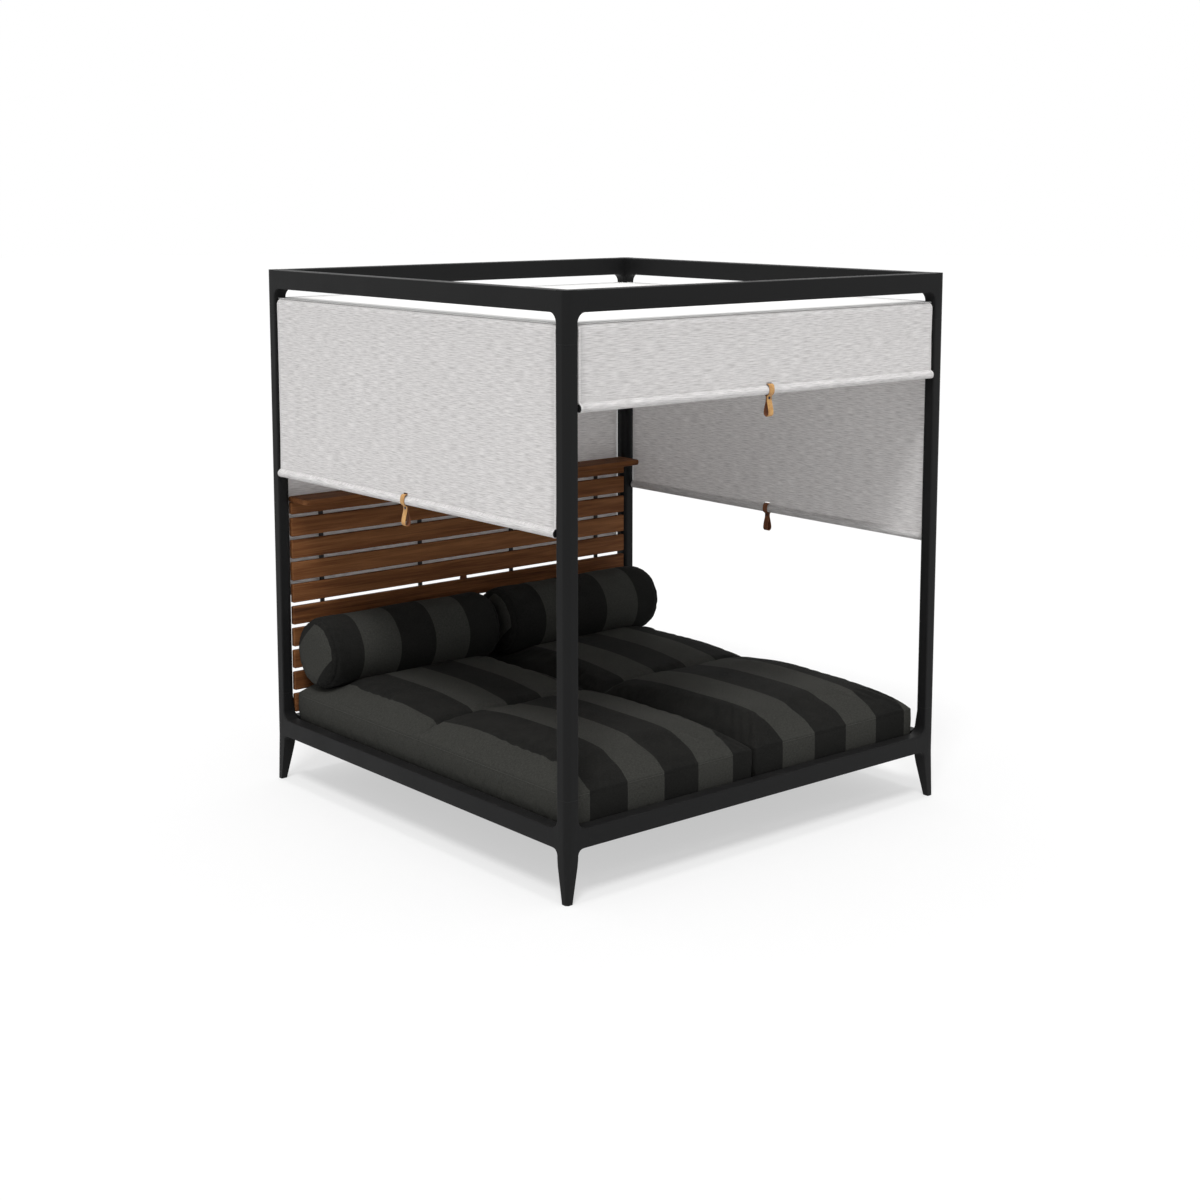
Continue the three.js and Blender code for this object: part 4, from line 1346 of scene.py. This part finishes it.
def onCover(cover, places, middles):
    # the same places moved to where a line from outside meets the cover
    corners = [tuple(vertex.co) for vertex in cover.vertices]
    tree = BVHTree.FromPolygons(corners, [tuple(face.vertices) for face in cover.polygons])
    made = []
    for place, middle in zip(np.asarray(places), np.asarray(middles)):
        out = (place - middle) / np.linalg.norm(place - middle)
        met = tree.ray_cast(Vector(place + out * piping["search"]), Vector(-out))[0]
        made.append(tuple(met) if met is not None else tuple(place))
    return np.array(made)


def seamLine():
    # the side seam as it runs round one mattress, seen from above
    low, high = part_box("mattress_left")
    corner = mattress["corner"]
    straightX = (high.x - low.x) / 2 - mattress["seamDraw"] - corner
    straightY = high.y - mattress["seamDraw"] - corner
    line = []
    for sx, sy, first in ((1, 1, 0), (-1, 1, 90), (-1, -1, 180), (1, -1, 270)):
        for angle in range(first, first + 91, 10):
            a = math.radians(angle)
            line.append((sx * straightX + corner * math.cos(a), sy * straightY + corner * math.sin(a)))
    made = []
    for (x0, y0), (x1, y1) in zip(line, line[1:] + line[:1]):
        steps = max(1, int(math.hypot(x1 - x0, y1 - y0) / 0.03))
        made += [(x0 + (x1 - x0) * t / steps, y0 + (y1 - y0) * t / steps) for t in range(steps)]
    return np.array(made)


def coverFrom(form, name, places, mirrored, cloth=None):
    # one cover with its own places, from the form that both sides share
    mesh = form.data.copy()
    mesh.name = name
    if cloth:
        mesh.materials.clear()
        mesh.materials.append(cloth)
    givePlaces(mesh, places)
    if mirrored:
        mesh.flip_normals()
    mesh.shade_smooth()
    cover = bpy.data.objects.new(name, mesh)
    scene.collection.objects.link(cover)
    return cover


def addMattresses(cloth, pipingCloth):
    low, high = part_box("mattress_left")
    seamZ = low.z + mattress["seam"]
    halfX, halfY = (high.x - low.x) / 2, high.y
    form = loftPiece("mattress_form", mattressForm(), [cloth])
    remeshed(form, mattress["voxel"])
    rest = placesOf(form.data)
    near = mattress["held"]
    side = np.abs(rest[:, 2] - seamZ) < near["seam"]
    edge = (np.abs(rest[:, 0]) > halfX - near["edge"]) | (np.abs(rest[:, 1]) > halfY - near["edge"])
    top = rest[:, 2] > seamZ + near["above"]
    tied = top & (np.abs(rest[:, 1] - mattress["channel"]) < near["channel"])
    under = rest[:, 2] < low.z + near["under"]
    held = np.where((side & edge) | tied | under, 1.0, 0.0)
    places = inflate(form, held, mattress["cap"])
    # sides keep clear of the rails and of the other mattress, the top of the bolster
    places[:, 0] = np.clip(places[:, 0], -halfX, halfX)
    places[:, 1] = np.clip(places[:, 1], -halfY, halfY)
    places[:, 2] = np.clip(places[:, 2], low.z, None)
    bed = np.maximum(seamZ, underside(places[:, 1], bolster["bedGap"]))
    places[:, 2] = np.minimum(places[:, 2], bed)
    givePlaces(form.data, places)
    subdivided(form)
    places, normals = placesOf(form.data), normalsOf(form.data)
    line = seamLine()
    height = np.full(len(line), seamZ)
    for name, s, seed in (("left", -1, 21), ("right", 1, 34)):
        aside = s * (halfX + mattress["gap"])
        moved = sewn(places, normals, seamZ, seed) * (s, 1, 1) + (aside, 0, 0)
        cover = coverFrom(form, "mattress_cover_" + name, moved, s < 0)
        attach(cover, name + "_mattress")
        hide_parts("mattress_" + name)
        ring = np.c_[line * (s, 1) + (aside, 0), height]
        middles = np.c_[line * (s, 1) * 0.8 + (aside, 0), height]
        ring = onCover(cover.data, ring, middles)
        cord = tubeAround("mattress_piping_" + name, ring, pipingCloth, piping["radius"])
        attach(cord, name + "_mattress")
    bpy.data.objects.remove(form)


def sewn(places, normals, seamZ, seed):
    # sharp fold and puckers at the channel, small puckers along the side seam
    size = sewing
    moved = places.copy()
    top = np.clip((places[:, 2] - seamZ - size["topFrom"]) / size["topFade"], 0, 1)
    stray = size["stray"] * wander(places * (1, 0, 0), 0.3, seed)
    away = places[:, 1] - mattress["channel"] + stray
    tuck = np.exp(-np.abs(away) / size["tuckWidth"])
    moved[:, 2] -= top * size["tuck"] * tuck
    ridges = wander(places * (1, 0.12, 0), 0.05, seed + 1)
    moved[:, 2] += top * size["ridge"] * ridges * np.exp(-np.abs(away) / size["ridgeWidth"])
    slow = wander(places * (1, 0.5, 1), 0.34, seed + 2)
    moved += normals * (top * size["swell"] * slow)[:, None]
    off = np.abs(places[:, 2] - seamZ)
    level = normals * (1, 1, 0)
    over = np.exp(-(((places[:, 2] - seamZ - size["rollRise"]) / size["rollHeight"]) ** 2))
    moved += level * (size["roll"] * over)[:, None]
    beside = np.exp(-((off / size["drawWidth"]) ** 2))
    moved -= level * (size["draw"] * beside)[:, None]
    pull = wander(places * (1, 1, 0.2), 0.11, seed + 3)
    above = np.where(places[:, 2] > seamZ, 1.0, size["puffUnder"])
    puff = size["puff"] * above * pull * np.exp(-off / size["puffHeight"]) * (1 - beside)
    moved += level * puff[:, None]
    upright = np.clip((np.abs(normals[:, 0]) - 0.5) / 0.4, 0, 1)
    upright = upright * np.exp(-((off / size["creaseHeight"]) ** 2))
    crease = size["crease"] * upright * np.exp(-np.abs(away) / size["creaseWidth"])
    moved -= level * crease[:, None]
    return moved


def bolsterForm(radius, half, cloth):
    # a domed end, a shoulder and a body, turned round the X axis
    dome, capRadius, shoulder, inset = (bolster[key] for key in ("dome", "capRadius", "shoulder", "inset"))
    seam = half - dome
    profile = []
    for share in np.sin(np.linspace(0, math.pi / 2, bolster["capSteps"])):
        profile.append((capRadius * share, half - dome * (1 - math.sqrt(1 - share**2))))
    for share in (0.3, 0.65, 1):
        rise = math.sin(share * math.pi / 2)
        profile.append((capRadius + (radius - capRadius) * rise, seam - shoulder * share))
    profile += [(radius, x) for x in np.linspace(seam - shoulder, 0, bolster["bodySteps"])[1:]]
    full = profile + [(r, -x) for r, x in reversed(profile[:-1])]
    sides, rings = bolster["sides"], len(full) - 2
    points = [(full[0][1] - inset, 0, 0)]
    for r, x in full[1:-1]:
        grown = r - inset
        points += [(x * (1 - inset / half), grown * math.cos(a), grown * math.sin(a)) for a in turns(sides)]
    points.append((-full[0][1] + inset, 0, 0))
    faces = ringFaces(rings, sides, 1)
    last = 1 + (rings - 1) * sides
    for k in range(sides):
        after = (k + 1) % sides
        faces.append((0, 1 + after, 1 + k))
        faces.append((len(points) - 1, last + k, last + after))
    return closedPiece("bolster_form", points, faces, [cloth])


def addBolsters(cloths):
    low, high, radius = bolsterBox("left")
    half = (high.x - low.x) / 2
    axisY, axisZ = (low.y + high.y) / 2, (low.z + high.z) / 2
    seam = half - bolster["dome"]
    capRadius = bolster["capRadius"]
    form = bolsterForm(radius, half, cloths["left"])
    remeshed(form, bolster["voxel"])
    rest = placesOf(form.data)
    near = bolster["held"]
    offSeam = np.abs(np.abs(rest[:, 0]) - seam)
    outer = np.hypot(rest[:, 1], rest[:, 2]) > capRadius * near["from"]
    held = np.where((offSeam < near["seam"]) & outer, 1.0, 0.0)
    places = inflate(form, held, bolster["cap"])
    givePlaces(form.data, places)
    subdivided(form)
    places, normals = placesOf(form.data), normalsOf(form.data)
    for name, flip, seed in (("left", 1, 55), ("right", -1, 89)):
        boxLow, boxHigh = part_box("bolster_" + name)
        middle = (boxLow.x + boxHigh.x) / 2
        moved = gathered(places, normals, seam, seed) * (flip, 1, 1)
        moved += (middle, axisY, axisZ)
        moved[:, 0] = np.clip(moved[:, 0], boxLow.x, boxHigh.x)
        moved[:, 1] = np.minimum(moved[:, 1], boxHigh.y)
        moved[:, 2] = np.maximum(moved[:, 2], boxLow.z)
        cover = coverFrom(form, "bolster_cover_" + name, moved, flip < 0, cloths[name])
        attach(cover, name + "_bolster")
        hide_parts("bolster_" + name)
        for end, s in (("a", -1), ("b", 1)):
            x = middle + s * seam
            ring = []
            for a in turns(piping["endSteps"]):
                ring.append((x, axisY + capRadius * math.cos(a), axisZ + capRadius * math.sin(a)))
            ring = onCover(cover.data, ring, [(x, axisY, axisZ)] * len(ring))
            thin = piping["radius"] * piping["endShare"]
            cord = tubeAround("bolster_piping_" + name + "_" + end, ring, cloths[name], thin)
            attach(cord, name + "_bolster")
    bpy.data.objects.remove(form)


def gathered(places, normals, seam, seed):
    # the cover is drawn in at each end seam, with short folds fanning from it
    size = gathers
    moved = places.copy()
    angle = np.arctan2(places[:, 2], places[:, 1])
    around = np.stack([np.cos(angle), np.sin(angle), np.sign(places[:, 0]) * 0.5], axis=1)
    off = np.abs(np.abs(places[:, 0]) - seam)
    rim = np.clip((np.hypot(places[:, 1], places[:, 2]) - size["rimFrom"]) / size["rimFade"], 0, 1)
    folds = wander(around, 0.22, seed)
    moved += normals * (rim * size["fold"] * folds * np.exp(-off / size["foldWidth"]))[:, None]
    moved -= normals * (rim * size["draw"] * np.exp(-((off / size["drawWidth"]) ** 2)))[:, None]
    spots = np.stack([places[:, 0] * 3, around[:, 0] * 0.4, around[:, 1] * 0.4], axis=1)
    slow = wander(spots, 0.5, seed + 1)
    moved += normals * (size["swell"] * slow)[:, None]
    return moved


def addCushions():
    low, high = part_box("bolster_left")
    cloths = {}
    for name in ("left", "right"):
        boxLow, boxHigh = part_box("bolster_" + name)
        band = {
            "middle": (boxLow.x + boxHigh.x) / 2,
            "seam": (boxHigh.x - boxLow.x) / 2 - bolster["dome"],
            "axis": ((low.y + high.y) / 2, (low.z + high.z) / 2),
            "half": bolster["band"],
        }
        cloths[name] = stripedCloth("bolsterStripes" + name.title(), bolster["edges"][name], False, band)
    mattressCloth = stripedCloth("mattressStripes", mattress["edges"], True)
    # the piping's lighter stripes are a painted highlight
    pipingCloth = stripedCloth("pipingCloth", mattress["edges"], True, pale=mattress["pipingHighlight"])
    addMattresses(mattressCloth, pipingCloth)
    print("mattresses sewn")
    addBolsters(cloths)
    print("bolsters sewn")


addCushions()

# Studio: pale floor, level light from all round, a small lamp overhead and a soft one from the upper left
studio = {
    "horizonLevel": 0.61,
    "zenithLevel": 0.74,
    "sunLevel": 0.60,
    "sunAngle": 1.6,
    "keyLevel": 1.85,
    "keyAngle": 16,
    "keyTurn": (32, 0, -47),
    "floorHalf": 60.0,
    "floorSides": 48,
    "floorColour": shade(0.36, 0.36, 0.36),
    "floorLift": 0.530,
    "floorBounce": shade(0.70, 0.70, 0.70),
}
shot = {
    "place": (-5.4126, -6.4419, 2.6908),
    "yaw": 40.166,
    "pitch": 8.142,
    "roll": 0.042,
    "lens": 58.558,
    "shift": (-0.00436, -0.12),
}


def seenWhite(tree):
    # one for what the camera, gloss and glass see
    rays = tree.nodes.new("ShaderNodeLightPath").outputs
    both = calc(tree, "MAXIMUM", rays["Is Camera Ray"], rays["Is Glossy Ray"])
    return calc(tree, "MAXIMUM", both, rays["Is Transmission Ray"])


def setLamp(name, level, width, turn):
    light = bpy.data.lights.new(name, "SUN")
    light.energy = level
    light.angle = math.radians(width)
    lamp = bpy.data.objects.new(name, light)
    lamp.location = (0, 0, 6)
    lamp.rotation_euler = [math.radians(value) for value in turn]
    scene.collection.objects.link(lamp)


def setStudio():
    world = bpy.data.worlds.new("studioWhite")
    scene.world = world
    world.use_nodes = True
    tree = world.node_tree
    background = tree.nodes["Background"]
    background.inputs["Color"].default_value = shade(1, 1, 1)
    rise = calc(tree, "MAXIMUM", split(tree, spot(tree, "Generated"))[2], 0.0)
    level = between(tree, rise, studio["horizonLevel"], studio["zenithLevel"])
    feed(tree, between(tree, seenWhite(tree), level, 1.0), background.inputs["Strength"])

    half, sides = studio["floorHalf"], studio["floorSides"]
    marks = [(math.cos(a) * half, math.sin(a) * half, 0) for a in turns(sides)]
    mesh = bpy.data.meshes.new("studioFloor")
    mesh.from_pydata([(0, 0, 0)] + marks, [], [(0, 1 + k, 1 + (k + 1) % sides) for k in range(sides)])
    floor = bpy.data.objects.new("studioFloor", mesh)
    scene.collection.objects.link(floor)
    material = bpy.data.materials.new("paleFloor")
    material.use_nodes = True
    tree = material.node_tree
    tree.nodes.remove(tree.nodes["Principled BSDF"])
    diffuse = tree.nodes.new("ShaderNodeBsdfDiffuse")
    seen = seenWhite(tree)
    feed(tree, tint(tree, seen, studio["floorBounce"], studio["floorColour"]), diffuse.inputs["Color"])
    glow = tree.nodes.new("ShaderNodeEmission")
    feed(tree, calc(tree, "MULTIPLY", seen, studio["floorLift"]), glow.inputs["Strength"])
    both = tree.nodes.new("ShaderNodeAddShader")
    feed(tree, diffuse.outputs[0], both.inputs[0])
    feed(tree, glow.outputs[0], both.inputs[1])
    feed(tree, both.outputs[0], tree.nodes["Material Output"].inputs["Surface"])
    mesh.materials.append(material)

    setLamp("overhead", studio["sunLevel"], studio["sunAngle"], (0, 0, 0))
    setLamp("upperLeft", studio["keyLevel"], studio["keyAngle"], studio["keyTurn"])


def setCamera():
    yaw, pitch, roll = (math.radians(shot[key]) for key in ("yaw", "pitch", "roll"))
    level = math.cos(pitch)
    ahead = np.array([math.sin(yaw) * level, math.cos(yaw) * level, -math.sin(pitch)])
    right = np.array([math.cos(yaw), -math.sin(yaw), 0])
    up = np.cross(right, ahead)
    rightRolled = right * math.cos(roll) + up * math.sin(roll)
    upRolled = up * math.cos(roll) - right * math.sin(roll)
    data = bpy.data.cameras.new("shot")
    data.lens = shot["lens"]
    data.sensor_width = 36
    data.shift_x, data.shift_y = shot["shift"]
    data.clip_start, data.clip_end = 0.1, 300
    camera = bpy.data.objects.new("shot", data)
    matrix = Matrix.Identity(4)
    for k, column in enumerate((rightRolled, upRolled, -ahead, shot["place"])):
        for i in range(3):
            matrix[i][k] = column[i]
    camera.matrix_world = matrix
    scene.collection.objects.link(camera)
    scene.camera = camera


setStudio()
setCamera()
scene.view_settings.view_transform = "Standard"
print("studio set")
